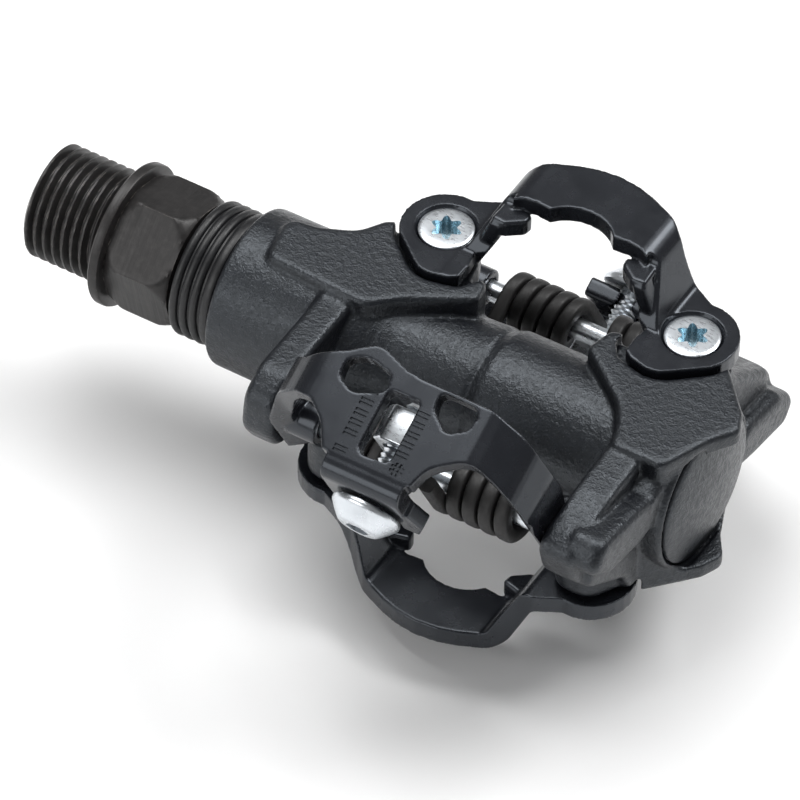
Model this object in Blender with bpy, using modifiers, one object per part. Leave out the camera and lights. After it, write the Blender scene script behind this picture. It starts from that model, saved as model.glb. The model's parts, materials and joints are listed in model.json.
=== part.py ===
"""Double-sided clipless bicycle pedal.

Frame: +X runs along the spindle, outboard (away from the crank); +Z is the normal of the top
cleat platform; +Y points from the top side's sprung jaw to its fixed bail. The origin is on the
spindle axis, at the middle of the overall length. The pedal is the same after half a turn about X.
All driving dimensions are in millimetres and are scaled to metres by MM.
"""

import math

import bmesh
import bpy
from mathutils import Matrix, Vector

# ---------------------------------------------------------------- driving dimensions (mm)
MM = 0.001
GAP = 0.3                    # clearance between neighbouring pieces
CLEAT_X = 16.7               # reference plane of the cleat area, from the middle of the length
BAIL_X = 1.4                 # mirror plane of the bails, from the cleat plane
JAW_X = -0.85                # middle of the pocket that holds each jaw, from the cleat plane

# spindle, stations measured from the cleat plane
THREAD_R, THREAD_ROOT_R, THREAD_PITCH, THREAD_TURNS = 7.144, 6.35, 1.27, 8     # 9/16 in x 20 TPI
THREAD_END = -63.4
COLLAR_FACE, COLLAR_END, COLLAR_R = -52.6, -51.2, 9.14
HEX_AF, HEX_END, HEX_PHASE = 15.0, -42.4, math.radians(14.5)
SOCKET_AF, SOCKET_DEPTH = 8.0, 9.0
JOURNAL_R, MID_R, RACE_SEAT_R = 6.5, 5.5, 4.4
JOURNAL_END, SHOULDER, SPINDLE_END = -20.8, 17.8, 26.0

# body
TUBE_FACE, TUBE_R = -35.7, 10.07
BARREL_R, WAIST_R = 8.6, 7.7
END_R, END_FACE = 10.3, 26.6
PLATE_Z = 10.6               # height of the top platforms over the axis
EAR_TOP, SHEET = 11.2, 2.4   # bail ears: top surface, sheet thickness
RECESS_Z = EAR_TOP - SHEET - GAP - 0.1

# bails
SCREW_DX, SCREW_Y = 16.68, 11.2
ARCH_TOP = 18.6
CLEAT_ARC_R = 5.25

# jaws
JAW_SLOPE = math.radians(28.3)
LIP_Y, LIP_Z = -21.04, 22.17
PIN_Y, PIN_Z, PIN_R = -19.0, 5.0, 1.3
POCKET_LO, POCKET_HI = -18.9, 17.9
COIL_R, WIRE_R = 3.65, 0.9
SCREW_N, NUT_V = -6.5, 5.3   # tension screw: depth under the jaw's top face, nut station on the slope

STEPS = 24


def X(x):
    return (x + CLEAT_X) * MM


# ---------------------------------------------------------------- scene and helpers
for stale in list(bpy.data.objects):
    bpy.data.objects.remove(stale, do_unlink=True)

parts = bpy.data.collections.new("clipless_pedal")
tools = bpy.data.collections.new("cutters")
bpy.context.scene.collection.children.link(parts)
bpy.context.scene.collection.children.link(tools)


def material(name, color, roughness, metallic):
    m = bpy.data.materials.new(name)
    m.use_nodes = True
    shader = m.node_tree.nodes["Principled BSDF"]
    shader.inputs["Base Color"].default_value = (*color, 1)
    shader.inputs["Roughness"].default_value = roughness
    shader.inputs["Metallic"].default_value = metallic
    return m


FINISH = {
    "body": material("textured_black_coat", (0.030, 0.032, 0.036), 0.55, 0.2),
    "steel": material("black_oxide_steel", (0.035, 0.033, 0.032), 0.42, 0.7),
    "gloss": material("black_electrophoretic", (0.020, 0.021, 0.026), 0.22, 0.35),
    "zinc": material("zinc_plate", (0.62, 0.65, 0.68), 0.25, 1.0),
    "spring": material("matte_black_spring", (0.022, 0.020, 0.019), 0.62, 0.4),
    "rubber": material("seal_rubber", (0.012, 0.012, 0.013), 0.6, 0.0),
    "bearing": material("bearing_steel", (0.50, 0.51, 0.53), 0.2, 1.0),
    "bronze": material("bush_bronze", (0.42, 0.28, 0.14), 0.4, 1.0),
}


def tool(obj):
    """Marks an object as a helper that only cuts or is joined into a part."""
    obj.hide_render = True
    obj.display_type = "WIRE"
    return obj


def add(name, mesh, where=tools, finish=None):
    obj = bpy.data.objects.new(name, mesh)
    where.objects.link(obj)
    if where is tools:
        tool(obj)
    if finish:
        obj.data.materials.append(FINISH[finish])
    return obj


def smooth(obj, angle=35):
    obj.data.shade_smooth()
    obj.data.set_sharp_from_angle(angle=math.radians(angle))


def rounded(corners, per_quarter=4):
    """Outline of a polygon whose corners (x, y, radius) are filleted."""
    out = []
    count = len(corners)
    for i in range(count):
        p = Vector(corners[i][:2])
        r = corners[i][2] if len(corners[i]) > 2 else 0
        if r <= 0:
            out.append(tuple(p))
            continue
        a = (Vector(corners[i - 1][:2]) - p)
        b = (Vector(corners[(i + 1) % count][:2]) - p)
        la, lb = a.length, b.length
        a.normalize()
        b.normalize()
        half = math.acos(max(-1, min(1, a.dot(b)))) / 2
        if half > math.radians(87):
            out.append(tuple(p))
            continue
        reach = min(r / math.tan(half), 0.49 * la, 0.49 * lb)
        r = reach * math.tan(half)
        centre = p + (a + b).normalized() * (r / math.sin(half))
        start, end = p + a * reach - centre, p + b * reach - centre
        turn = math.atan2(start.x * end.y - start.y * end.x, start.dot(end))
        steps = max(1, round(per_quarter * abs(turn) / (math.pi / 2)))
        for k in range(steps + 1):
            t = turn * k / steps
            out.append((centre.x + start.x * math.cos(t) - start.y * math.sin(t),
                        centre.y + start.x * math.sin(t) + start.y * math.cos(t)))
    return out


def frame_of(first, second, third):
    """Axes of an outline: its first direction, its second, and the direction of extrusion."""
    return Matrix((first, second, third)).transposed()


PLANES = {
    "XY": frame_of((1, 0, 0), (0, 1, 0), (0, 0, 1)),
    "YZ": frame_of((0, 1, 0), (0, 0, 1), (1, 0, 0)),
    "XZ": frame_of((1, 0, 0), (0, 0, 1), (0, 1, 0)),
}
# a jaw's own frame: along X, down its slope (v), and out of its top face (n)
SLOPE = Vector((0, -math.cos(JAW_SLOPE), -math.sin(JAW_SLOPE)))
RISE = Vector((0, -math.sin(JAW_SLOPE), math.cos(JAW_SLOPE)))
LIP = Vector((CLEAT_X, LIP_Y, LIP_Z))
JAW_TOP = frame_of((1, 0, 0), SLOPE, RISE)       # outlines (x, v), extruded along n
JAW_FACE = frame_of((1, 0, 0), RISE, SLOPE)      # outlines (x, n), extruded along v
JAW_SIDE = frame_of(SLOPE, RISE, (1, 0, 0))      # outlines (v, n), extruded along X


def jaw_point(x, v, n):
    """World position, mm, of a point given in a jaw's own frame; x counts from the cleat plane."""
    return LIP + Vector((x, 0, 0)) + SLOPE * v + RISE * n


def slab(name, outline, axes, origin, low, high, bevel=0.0, segments=1):
    """A flat outline (mm) extruded from low to high along the third of three axes."""
    curve = bpy.data.curves.new(name, "CURVE")
    curve.dimensions = "2D"
    curve.fill_mode = "BOTH"
    curve.extrude = (high - low) / 2 * MM
    spline = curve.splines.new("POLY")
    spline.points.add(len(outline) - 1)
    for point, (a, b) in zip(spline.points, outline):
        point.co = (a * MM, b * MM, 0, 1)
    spline.use_cyclic_u = True
    flat = bpy.data.objects.new(name + "_outline", curve)
    tools.objects.link(flat)
    bpy.context.view_layer.update()
    mesh = bpy.data.meshes.new_from_object(
        flat.evaluated_get(bpy.context.evaluated_depsgraph_get()))
    middle = Vector(origin) + axes @ Vector((0, 0, (low + high) / 2))
    mesh.transform(Matrix.Translation(middle * MM) @ axes.to_4x4())
    bpy.data.objects.remove(flat, do_unlink=True)
    bm = bmesh.new()
    bm.from_mesh(mesh)
    bmesh.ops.remove_doubles(bm, verts=bm.verts, dist=0.000002)
    bmesh.ops.dissolve_limit(bm, angle_limit=math.radians(0.5), verts=bm.verts, edges=bm.edges)
    bmesh.ops.recalc_face_normals(bm, faces=bm.faces)
    bm.to_mesh(mesh)
    bm.free()
    obj = add(name, mesh)
    if bevel:
        edge = obj.modifiers.new("edge", "BEVEL")
        edge.width = bevel * MM
        edge.segments = segments
        edge.limit_method = "ANGLE"
        edge.angle_limit = math.radians(40)
    return obj


def plain(name, outline, plane, low, high, **more):
    """slab() on a world plane; X coordinates count from the cleat plane."""
    return slab(name, outline, PLANES[plane], (CLEAT_X, 0, 0), low, high, **more)


def jaw_slab(name, outline, axes, low, high, **more):
    return slab(name, outline, axes, LIP, low, high, **more)


def turned(name, profile, origin=(0, 0, 0), direction=(1, 0, 0), where=tools, finish=None,
           steps=STEPS):
    """A profile of (station along the axis, radius), in mm, turned about that axis."""
    points = [(s, r) for s, r in profile]
    area = sum(points[i - 1][1] * points[i][0] - points[i][1] * points[i - 1][0]
               for i in range(len(points)))
    if area > 0:
        points.reverse()
    on_axis = [i for i, (s, r) in enumerate(points) if r == 0]
    closed = not on_axis
    if len(on_axis) == 2 and on_axis != [0, len(points) - 1]:
        cut = on_axis[1]
        points = points[cut:] + points[:cut]
    mesh = bpy.data.meshes.new(name)
    verts = [(r * MM, 0, s * MM) for s, r in points]
    edges = [(i, i + 1) for i in range(len(points) - 1)]
    if closed:
        edges.append((len(points) - 1, 0))
    mesh.from_pydata(verts, edges, [])
    obj = add(name, mesh, where, finish)
    screw = obj.modifiers.new("turn", "SCREW")
    screw.axis = "Z"
    screw.steps = steps
    screw.render_steps = steps
    screw.use_merge_vertices = True
    screw.merge_threshold = 0.00001
    screw.use_smooth_shade = True
    obj.location = (Vector((CLEAT_X, 0, 0)) + Vector(origin)) * MM
    obj.rotation_euler = Vector((0, 0, 1)).rotation_difference(Vector(direction)).to_euler()
    return obj


def rod(name, radius, low, high, origin, direction, segments=16, where=tools):
    """A plain cylinder from low to high, in mm, along a direction through an origin."""
    mesh = bpy.data.meshes.new(name)
    bm = bmesh.new()
    bmesh.ops.create_cone(bm, cap_ends=True, segments=segments, radius1=radius * MM,
                          radius2=radius * MM, depth=(high - low) * MM)
    bm.to_mesh(mesh)
    bm.free()
    obj = add(name, mesh, where)
    way = Vector(direction).normalized()
    obj.location = (Vector((CLEAT_X, 0, 0)) + Vector(origin) + way * (low + high) / 2) * MM
    obj.rotation_euler = Vector((0, 0, 1)).rotation_difference(way).to_euler()
    return obj


def boolean(obj, operation, *others):
    for other in others:
        mod = obj.modifiers.new(operation.lower() + "_" + other.name, "BOOLEAN")
        mod.operation = operation
        mod.object = other
        mod.solver = "EXACT"
    return obj


def join(obj, *others):
    return boolean(obj, "UNION", *others)


def cut(obj, *others):
    return boolean(obj, "DIFFERENCE", *others)


def half_turn(obj, name):
    """The same mesh and modifiers, turned half a turn about the spindle axis."""
    twin = obj.copy()
    twin.name = name
    for home in obj.users_collection:
        home.objects.link(twin)
    bpy.context.view_layer.update()
    twin.matrix_world = Matrix.Rotation(math.pi, 4, "X") @ obj.matrix_world
    return twin


def settle(obj, name, finish, origin=None, angle=35):
    """Turns an object with its modifiers into a part with a plain mesh, its origin where asked (mm)."""
    bpy.context.view_layer.update()
    mesh = bpy.data.meshes.new_from_object(
        obj.evaluated_get(bpy.context.evaluated_depsgraph_get()))
    mesh.transform(obj.matrix_world)
    mesh.name = name
    mesh.materials.clear()
    mesh.materials.append(FINISH[finish])
    place = Vector(origin) * MM if origin else Vector((0, 0, 0))
    mesh.transform(Matrix.Translation(-place))
    part = bpy.data.objects.new(name, mesh)
    parts.objects.link(part)
    part.location = place
    smooth(part, angle)
    return part


def twin_part(part, name):
    """A second copy of a finished part for the pedal's other side."""
    other = bpy.data.objects.new(name, part.data)
    parts.objects.link(other)
    bpy.context.view_layer.update()
    other.matrix_world = Matrix.Rotation(math.pi, 4, "X") @ part.matrix_world
    return other


def mirrored(half, centre):
    """Closes a half outline (distance from the mirror plane, y) about that plane."""
    right = [(centre + d, y) for d, y in half]
    left = [(centre - d, y) for d, y in reversed(half) if d > 1e-6]
    return right + left


# ---------------------------------------------------------------- spindle
profile = [(THREAD_END, 0), (THREAD_END, 5.9)]
for turn in range(THREAD_TURNS):
    crest = THREAD_END + 0.8 + turn * THREAD_PITCH
    profile += [(crest - 0.16, THREAD_R), (crest + 0.16, THREAD_R),
                (crest + THREAD_PITCH / 2, THREAD_ROOT_R)]
profile += [(COLLAR_FACE - 1.2, THREAD_ROOT_R), (COLLAR_FACE + 0.3, THREAD_ROOT_R),
            (COLLAR_FACE + 0.3, 7.35), (COLLAR_FACE, 7.5), (COLLAR_FACE, COLLAR_R - 0.25), (COLLAR_FACE + 0.25, COLLAR_R),
            (COLLAR_END - 0.25, COLLAR_R), (COLLAR_END, COLLAR_R - 0.25),
            (COLLAR_END, 7.3), (HEX_END + 0.2, 7.3), (HEX_END + 0.2, JOURNAL_R),
            (JOURNAL_END, JOURNAL_R), (JOURNAL_END + 1, MID_R),
            (SHOULDER, MID_R), (SHOULDER, RACE_SEAT_R), (SPINDLE_END - 0.4, RACE_SEAT_R),
            (SPINDLE_END, RACE_SEAT_R - 0.4), (SPINDLE_END, 0)]
spindle_raw = turned("spindle_turned", profile)
hex_r = HEX_AF / 2 / math.cos(math.pi / 6)
# the wrench hexagon, its corners knocked off by a turned envelope
hex_bar = plain("spindle_hex",
                [(hex_r * -math.sin(HEX_PHASE + k * math.pi / 3),
                  hex_r * math.cos(HEX_PHASE + k * math.pi / 3)) for k in range(6)],
                "YZ", COLLAR_END - 0.6, HEX_END)
hex_envelope = turned("hex_envelope", [
    (COLLAR_END - 1.0, 0), (COLLAR_END - 1.0, 8.0), (COLLAR_END + 0.2, 8.0),
    (COLLAR_END + 1.5, 8.6), (HEX_END - 1.5, 8.6), (HEX_END + 0.1, 7.6), (HEX_END + 0.1, 0)])
boolean(hex_bar, "INTERSECT", hex_envelope)
join(spindle_raw, hex_bar)
key_r = SOCKET_AF / 2 / math.cos(math.pi / 6)
cut(spindle_raw, plain("hex_socket", [(key_r * math.cos(k * math.pi / 3), key_r * math.sin(k * math.pi / 3))
                                      for k in range(6)], "YZ", THREAD_END - 1, THREAD_END + SOCKET_DEPTH))
spindle = settle(spindle_raw, "spindle", "steel")

# ---------------------------------------------------------------- bearings and seals on the axis
turned("axle_seal", [(-41.7, 6.9), (-41.7, 8.1), (-41.2, 8.6), (-40.4, 8.6), (-39.9, 7.9), (-39.5, 7.9),
                     (-39.0, 8.75), (-38.2, 8.75), (-37.7, 8.0), (-37.3, 8.0), (-36.9, 8.8),
                     (-36.1, 8.8), (-36.0, 7.55), (-33.6, 7.55), (-33.6, 6.9)],
       where=parts, finish="rubber")
turned("inner_bush", [(-33.3, 6.8), (-33.3, 7.6), (-21.3, 7.6), (-21.3, 6.8)], where=parts, finish="bronze")
turned("bearing_inner_race", [(18.1, 4.7), (18.1, 6.0), (19.3, 6.0), (19.7, 5.75), (20.5, 5.75),
                              (20.9, 6.0), (22.1, 6.0), (22.1, 4.7)], where=parts, finish="bearing")
turned("bearing_outer_race", [(18.1, 7.5), (18.1, 8.6), (22.1, 8.6), (22.1, 7.5), (20.9, 7.5),
                              (20.5, 7.7), (19.7, 7.7), (19.3, 7.5)], where=parts, finish="bearing")
cage = turned("cage_ring", [(18.9, 6.45), (18.9, 7.05), (21.3, 7.05), (21.3, 6.45)])
balls = []
for k in range(9):
    mesh = bpy.data.meshes.new("ball")
    bm = bmesh.new()
    bmesh.ops.create_uvsphere(bm, u_segments=6, v_segments=4, radius=0.68 * MM)
    bm.to_mesh(mesh)
    bm.free()
    ball = add("ball_%d" % k, mesh)
    turn = 2 * math.pi * k / 9
    ball.location = (X(20.1), 6.75 * math.sin(turn) * MM, 6.75 * math.cos(turn) * MM)
    balls.append(ball)
settle(join(cage, *balls), "ball_cage", "bearing")
turned("lock_washer", [(22.4, 4.7), (22.4, 6.3), (23.0, 6.3), (23.0, 4.7)], where=parts, finish="bearing")
nut_r = 10.0 / 2 / math.cos(math.pi / 6)
lock = plain("nut_bar", [(nut_r * 1.06 * math.cos(k * math.pi / 3), nut_r * 1.06 * math.sin(k * math.pi / 3))
                         for k in range(6)], "YZ", 23.3, 25.6, bevel=0.2)
cut(lock, rod("nut_bore", 4.7, 22, 27, (0, 0, 0), (1, 0, 0), 24))
settle(lock, "lock_nut", "bearing")

# end cap: a shallow dome with a hollow plug that snaps into the body
CAP_R = 9.4
dome = [(26.9 + 1.25 * (1 - (CAP_R * k / 5 / CAP_R) ** 2), CAP_R * k / 5) for k in range(6)]
cap = [(s, r) for s, r in dome] + [(26.3, CAP_R), (26.3, 8.4), (23.9, 8.4), (23.9, 7.2), (26.4, 7.2), (26.5, 0)]
settle(turned("cap_turned", cap, steps=32), "end_cap", "body", angle=30)

# ---------------------------------------------------------------- body
tube = turned("hub_tube", [
    (TUBE_FACE, 0), (TUBE_FACE, TUBE_R - 0.35), (TUBE_FACE + 0.35, TUBE_R), (-21.5, TUBE_R + 0.1),
    (-18.5, 9.4), (-15.5, 8.3), (-11.5, WAIST_R), (-7.0, 8.0), (-2.0, 8.4), (4.0, BARREL_R),
    (12.0, BARREL_R), (16.8, 8.9), (18.6, END_R), (END_FACE - 0.4, END_R), (END_FACE, END_R - 0.4),
    (END_FACE, 0)])

inner_top = plain("inner_platform", rounded([
    (-32.6, 3.6, 2), (-31.2, -3.6, 1.6), (-17.3, -4.3, 2.5), (-14.0, -1.2, 4), (-6.3, 3.4, 1.0),
    (-6.8, 6.4, 1.0), (-9.6, 7.4, 1.0), (-10.4, 11.0, 1), (-19.4, 11.0, 1), (-21.0, 9.9, 1),
    (-22.4, 9.0, 1.0), (-24.3, 6.0, 4), (-28.6, 4.0, 4)]), "XY", 1.0, PLATE_Z, bevel=0.7)
outer_top = plain("outer_platform", rounded([
    (8.2, 3.6, 1.2), (9.2, 7.6, 1.2), (12.2, 8.2, 2.0), (13.4, 11.0, 1), (23.2, 10.4, 1.0),
    (24.6, 8.9, 1.5), (29.0, 4.0, 1.5), (30.2, 1.2, 1.4), (28.0, -2.0, 4), (25.3, -8.6, 1.6),
    (18.4, -8.7, 1.6), (17.4, -5.2, 3), (15.6, -2.2, 4)]), "XY", 1.0, PLATE_Z, bevel=0.7)
# the outboard face under the platform is cut back to the end boss
overhang = plain("under_overhang", [(27.0, -12), (33, -12), (33, 12), (27.0, 12)], "XY", -12, 8.2)
outer_under = half_turn(outer_top, "outer_platform_under")
cut(outer_top, overhang)
cut(outer_under, half_turn(overhang, "over_overhang"))

# arms, seen from the side: a knuckle behind, a shelf under the bail's ear in front; half a turn maps
# each outline onto itself
def both_ways(half):
    return half + [(-y, -z, *r) for y, z, *r in half]


inner_arm = plain("inner_arm", rounded(both_ways([
    (9.0, 9.0, 1), (4.0, 9.9, 0), (-4.0, 9.9, 0), (-5.0, 9.5, 1), (-18.2, 9.5, 3.5), (-21.6, 7.4, 3),
    (-22.2, 2.6, 3.0), (-20.2, -0.6, 2.5), (-14.5, -2.4, 2)])), "YZ", -23.3, POCKET_LO,
    bevel=1.4, segments=2)
outer_arm = plain("outer_arm", rounded(both_ways([
    (9.0, 9.0, 1), (4.0, 9.9, 0), (-8.0, 10.0, 2), (-15.3, 9.6, 3), (-21.6, 8.6, 2.5), (-24.4, 7.2, 2.0),
    (-23.2, 3.0, 3.0), (-21.2, 0.4, 2.5), (-13.0, -5.4, 3)])), "YZ", POCKET_HI, 22.6, bevel=0.8, segments=2)
wedge = plain("outer_bumper", rounded([
    (-7.0, 8.4, 0), (-10.4, 6.9, 1.5), (-14.0, 7.8, 3), (-22.0, 9.2, 2.0), (-24.3, 6.0, 1.8), (-20.5, 2.9, 2),
    (-13.3, 1.6, 2), (-7.0, 2.2, 0)]), "YZ", 20.6, 25.7, bevel=1.3, segments=2)
low_body = plain("outer_low_body", rounded(both_ways([
    (8.0, 9.0, 0), (-8.0, 9.0, 0), (-10.4, 6.0, 1.5), (-20.4, 4.6, 1.5), (-21.4, 0.4, 2), (-12.7, -5.8, 3),
    (-11.4, -9.2, 1.5)])), "YZ", 20.6, 23.6, bevel=0.9, segments=2)
body = tube
operands = [inner_top, inner_arm, outer_arm, low_body, wedge]
for side, x in (("outer", BAIL_X + SCREW_DX), ("inner", BAIL_X - SCREW_DX)):
    reach = 1 if side == "outer" else -1
    operands.append(plain(side + "_boss", rounded([
        (x - 4.6, 2.0, 1), (x + 4.6, 2.0, 1), (x + 4.6 + 0.3 * reach, 11.5, 4), (x + 2.4, 15.9, 3),
        (x - 2.4, 15.9, 3), (x - 4.6 + 0.3 * reach, 11.5, 4)]), "XY", 2.6, RECESS_Z + 0.02, bevel=0.7))
join(body, outer_top, outer_under)
for operand in operands:
    join(body, operand, half_turn(operand, operand.name + "_under"))

# recesses for the bail's ears, screw holes, pin holes, bearing bores
def ear_outline(grow):
    """Half outline of an ear about its screw: a round head and a foot towards the hub."""
    r = 5.6 + grow
    pts = [(13.05 - grow, 18.4 + grow)]
    for k in range(11):
        a = math.radians(96 - k * 13.5)
        pts.append((SCREW_DX + r * math.cos(a), SCREW_Y + r * math.sin(a)))
    return pts


def ear_full(grow, inner):
    return ear_outline(grow) + [
        (17.4 + grow * 0.7, 4.7 - grow), (16.3, 3.9 - grow), (14.8, 3.65 - grow), (12.3, 4.2 - grow),
        (11.3 - grow, 4.7 - grow), (inner, 6.2), (inner, 18.4 + grow)]


for side, sign in (("right", 1), ("left", -1)):
    recess = plain("ear_recess_" + side, [
        (BAIL_X + sign * d, y) for d, y in ear_full(0.55, 9.3)][::sign], "XY", RECESS_Z, 14)
    hole = rod("screw_hole_" + side, 2.15, 1.0, 10, (BAIL_X + sign * SCREW_DX, SCREW_Y, 0), (0, 0, 1))
    cut(body, recess, half_turn(recess, recess.name + "_under"),
        hole, half_turn(hole, hole.name + "_under"))
pin_hole = rod("pin_hole", PIN_R + GAP, -26, 21.8, (0, PIN_Y, PIN_Z), (1, 0, 0))
cut(body, pin_hole, half_turn(pin_hole, "pin_hole_under"))
bore = turned("body_bore", [(TUBE_FACE - 1, 0), (TUBE_FACE - 1, 7.9), (-21.0, 7.9), (-20.4, 6.2),
                            (17.8, 6.2), (17.8, 8.9), (26.0, 8.9), (26.0, 9.7), (END_FACE + 1, 9.7),
                            (END_FACE + 1, 0)])
cut(body, bore)
settle(body, "pedal_body", "body", angle=30)

# ---------------------------------------------------------------- bail
# the sheet's section across the pedal, bent up out of the ears and over the arch
section = rounded([
    (0.0, ARCH_TOP, 0), (9.7, ARCH_TOP, 3.4), (13.0, EAR_TOP, 1.0), (23.0, EAR_TOP, 0), (23.0, EAR_TOP - SHEET, 0),
    (11.6, EAR_TOP - SHEET, 1.6), (8.0, ARCH_TOP - SHEET, 1.4), (0.0, ARCH_TOP - SHEET, 0)])
bail = plain("bail_section", mirrored(section, BAIL_X), "XZ", 2.0, 24.0)
half_plan = [(0.0, 22.8), (2.7, 22.5), (5.0, 21.8), (7.0, 20.9), (8.7, 20.2), (10.0, 19.3), (11.4, 18.6)]
half_plan += ear_outline(0) + [(17.4, 4.7), (16.3, 3.9), (14.8, 3.65), (12.3, 4.2), (11.3, 4.9), (11.2, 7.2),
                               (11.6, 9.2), (9.5, 9.9), (9.4, 13.0), (8.0, 13.7), (6.2, 13.95), (4.25, 13.75)]
reach = math.asin(4.25 / CLEAT_ARC_R)
for k in range(1, 5):
    a = reach * (1 - k / 4)
    half_plan.append((CLEAT_ARC_R * math.sin(a), 13.75 + (CLEAT_ARC_R * math.cos(a) - CLEAT_ARC_R * math.cos(reach))
                      * 2.1 / (CLEAT_ARC_R - CLEAT_ARC_R * math.cos(reach))))
boolean(bail, "INTERSECT", plain("bail_plan", mirrored(half_plan, BAIL_X), "XY", 5, 22, bevel=0.0))
for side, sign in (("right", 1), ("left", -1)):
    front = slab("bail_leg_front_" + side, [(1.0, 11.26), (9.2, 11.26), (14.2, 17.2), (14.2, 21.0), (1.0, 21.0)],
                 PLANES["YZ"], (CLEAT_X + BAIL_X + sign * 11.7, 0, 0), -2.7, 2.7)
    cut(bail, front)
    tab = plain("bail_tab_" + side, [(BAIL_X + sign * d, y) for d, y in (
        (10.5, 10.6), (10.3, 14.5), (6.3, 13.4), (6.5, 12.0), (8.6, 10.4))], "XY", 14.3, 16.7, bevel=0.3)
    gusset = plain("bail_gusset_" + side, [(BAIL_X + sign * d, z) for d, z in (
        (8.7, 16.2), (10.4, 16.3), (12.5, 10.6), (11.4, 9.6), (9.3, 13.6))], "XZ", 10.2, 12.5, bevel=0.3)
    join(bail, tab, gusset)
    cut(bail, turned("ear_bore_" + side, [(6, 0), (6, 2.3), (9.3, 2.3), (11.0, 3.75), (14, 3.75), (14, 0)],
                     (BAIL_X + sign * SCREW_DX, SCREW_Y, 0), (0, 0, 1), steps=24))
top_bail = settle(bail, "front_bail_top", "gloss", angle=30)
twin_part(top_bail, "front_bail_bottom")

# bail screws, six-lobed key
lobes = []
for k in range(12):
    a = 2 * math.pi * k / 12
    lobes.append(((1.62 + 0.34 * math.cos(6 * a)) * math.cos(a), (1.62 + 0.34 * math.cos(6 * a)) * math.sin(a)))
for side, sign in (("outer", 1), ("inner", -1)):
    centre = (BAIL_X + sign * SCREW_DX, SCREW_Y, 0)
    raw = turned("screw_raw_" + side, [
        (3.0, 0), (3.0, 1.4), (3.4, 1.8), (8.7, 1.8), (10.55, 3.2), (10.7, 3.4), (10.95, 3.37), (11.05, 3.1),
        (11.05, 0)], centre, (0, 0, 1), steps=20)
    key = slab("screw_key_" + side, lobes, PLANES["XY"], (CLEAT_X + centre[0], SCREW_Y, 0), 9.2, 13)
    cut(raw, key)
    screw = settle(raw, "bail_screw_%s_top" % side, "zinc")
    twin_part(screw, "bail_screw_%s_bottom" % side)

# ---------------------------------------------------------------- sprung jaw
PIN = Vector((CLEAT_X, PIN_Y, PIN_Z))
PIN_V, PIN_N = (PIN - LIP).dot(SLOPE), (PIN - LIP).dot(RISE)
LEFT, RIGHT = POCKET_LO + GAP + 0.1, POCKET_HI - GAP - 0.1      # outer faces of the jaw's ears
EAR_T = 2.3
band = rounded([
    (LEFT, -22.0, 0), (LEFT, -11.8, 6), (-15.9, -3.6, 7), (-12.3, 0.0, 5), (10.6, 0.0, 9), (15.3, -2.4, 5),
    (RIGHT, -7.2, 4), (RIGHT, -22.0, 0), (RIGHT - EAR_T, -22.0, 0), (RIGHT - EAR_T, -8.0, 2.5),
    (13.6, -4.2, 4), (9.9, -EAR_T, 7), (-11.3, -EAR_T, 3.5), (-14.0, -4.9, 5), (LEFT + EAR_T, -12.4, 4.5),
    (LEFT + EAR_T, -22.0, 0)])
jaw = jaw_slab("jaw_band", band, JAW_FACE, -2.2, 12.0)
plan = jaw_slab("jaw_plan", rounded([
    (-21, 2.6, 0), (-14.0, 2.6, 2), (-9.4, 0.4, 1.6), (-6.0, -1.9, 2.6), (-1.6, -0.3, 3), (0.8, -0.1, 3),
    (9.6, -0.1, 5), (14.0, 0.9, 4), (17.2, 2.4, 2), (20.0, 3.4, 0), (20.0, 10.9, 0), (16.8, 8.6, 3),
    (13.4, 7.3, 3), (10.2, 6.4, 5), (6.0, 9.3, 4), (4.9, 13.4, 0.5), (4.7, 15.0, 0), (-5.7, 15.0, 0),
    (-5.9, 13.0, 1.5), (-8.2, 9.1, 3), (-10.6, 7.2, 1.5), (-13.0, 7.0, 2), (-16.0, 7.6, 3), (-18.0, 8.9, 2),
    (-21, 10.9, 0)]), JAW_TOP, -23, 1)
boolean(jaw, "INTERSECT", plan)
ear_side = jaw_slab("jaw_ear_side", rounded([
    (-3.0, 1.0, 0), (-3.0, -5.2, 0), (1.4, -6.0, 2), (2.6, -13.0, 6), (4.0, -18.6, 3), (7.6, -21.9, 2),
    (10.4, -21.4, 1), (10.3, -15.5, 3), (8.6, -8.4, 3), (9.6, -5.6, 2), (15.0, -5.0, 0), (15.0, 1.0, 0)]),
    JAW_SIDE, -24, 24)
boolean(jaw, "INTERSECT", ear_side)
wall = jaw_slab("jaw_wall", rounded([
    (10.9, -0.05, 0), (14.7, -0.05, 3.0), (14.7, -8.4, 0.6), (12.3, -8.4, 0.6), (12.3, -EAR_T + 0.05, 0.8),
    (10.9, -EAR_T + 0.05, 0)], 5), JAW_SIDE, -5.65, 4.65)
hook = jaw_slab("jaw_hook", rounded([
    (2.9, -3.5, 0), (5.05, -4.3, 0.5), (6.3, -7.6, 0.6), (5.0, -11.0, 0.5), (2.9, -11.0, 0)]), JAW_FACE, 12.45, 14.5)
join(jaw, wall, hook, rod("jaw_pin_boss", 2.45, LEFT + 1.0, -13.6, (0, PIN_Y, PIN_Z), (1, 0, 0), STEPS))
for name, corners in (
        ("jaw_window_left", [(-8.9, 1.2, 1.2), (-6.6, 0.1, 1.6), (-3.0, 0.9, 1.2), (-2.8, 3.2, 1.2), (-6.4, 4.6, 1.4),
                             (-8.7, 3.6, 1.2)]),
        ("jaw_window_right", [(3.0, 0.3, 1.2), (8.7, 0.4, 1.5), (8.3, 3.3, 1.4), (6.0, 4.7, 1.2), (3.6, 2.8, 1.4)]),
        ("jaw_slot", [(-2.5, 2.5, 0.8), (1.7, 2.4, 0.8), (1.7, 10.6, 1.0), (-2.5, 10.8, 1.0)])):
    cut(jaw, jaw_slab(name, rounded(corners), JAW_TOP, -4.5, 1))
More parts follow.
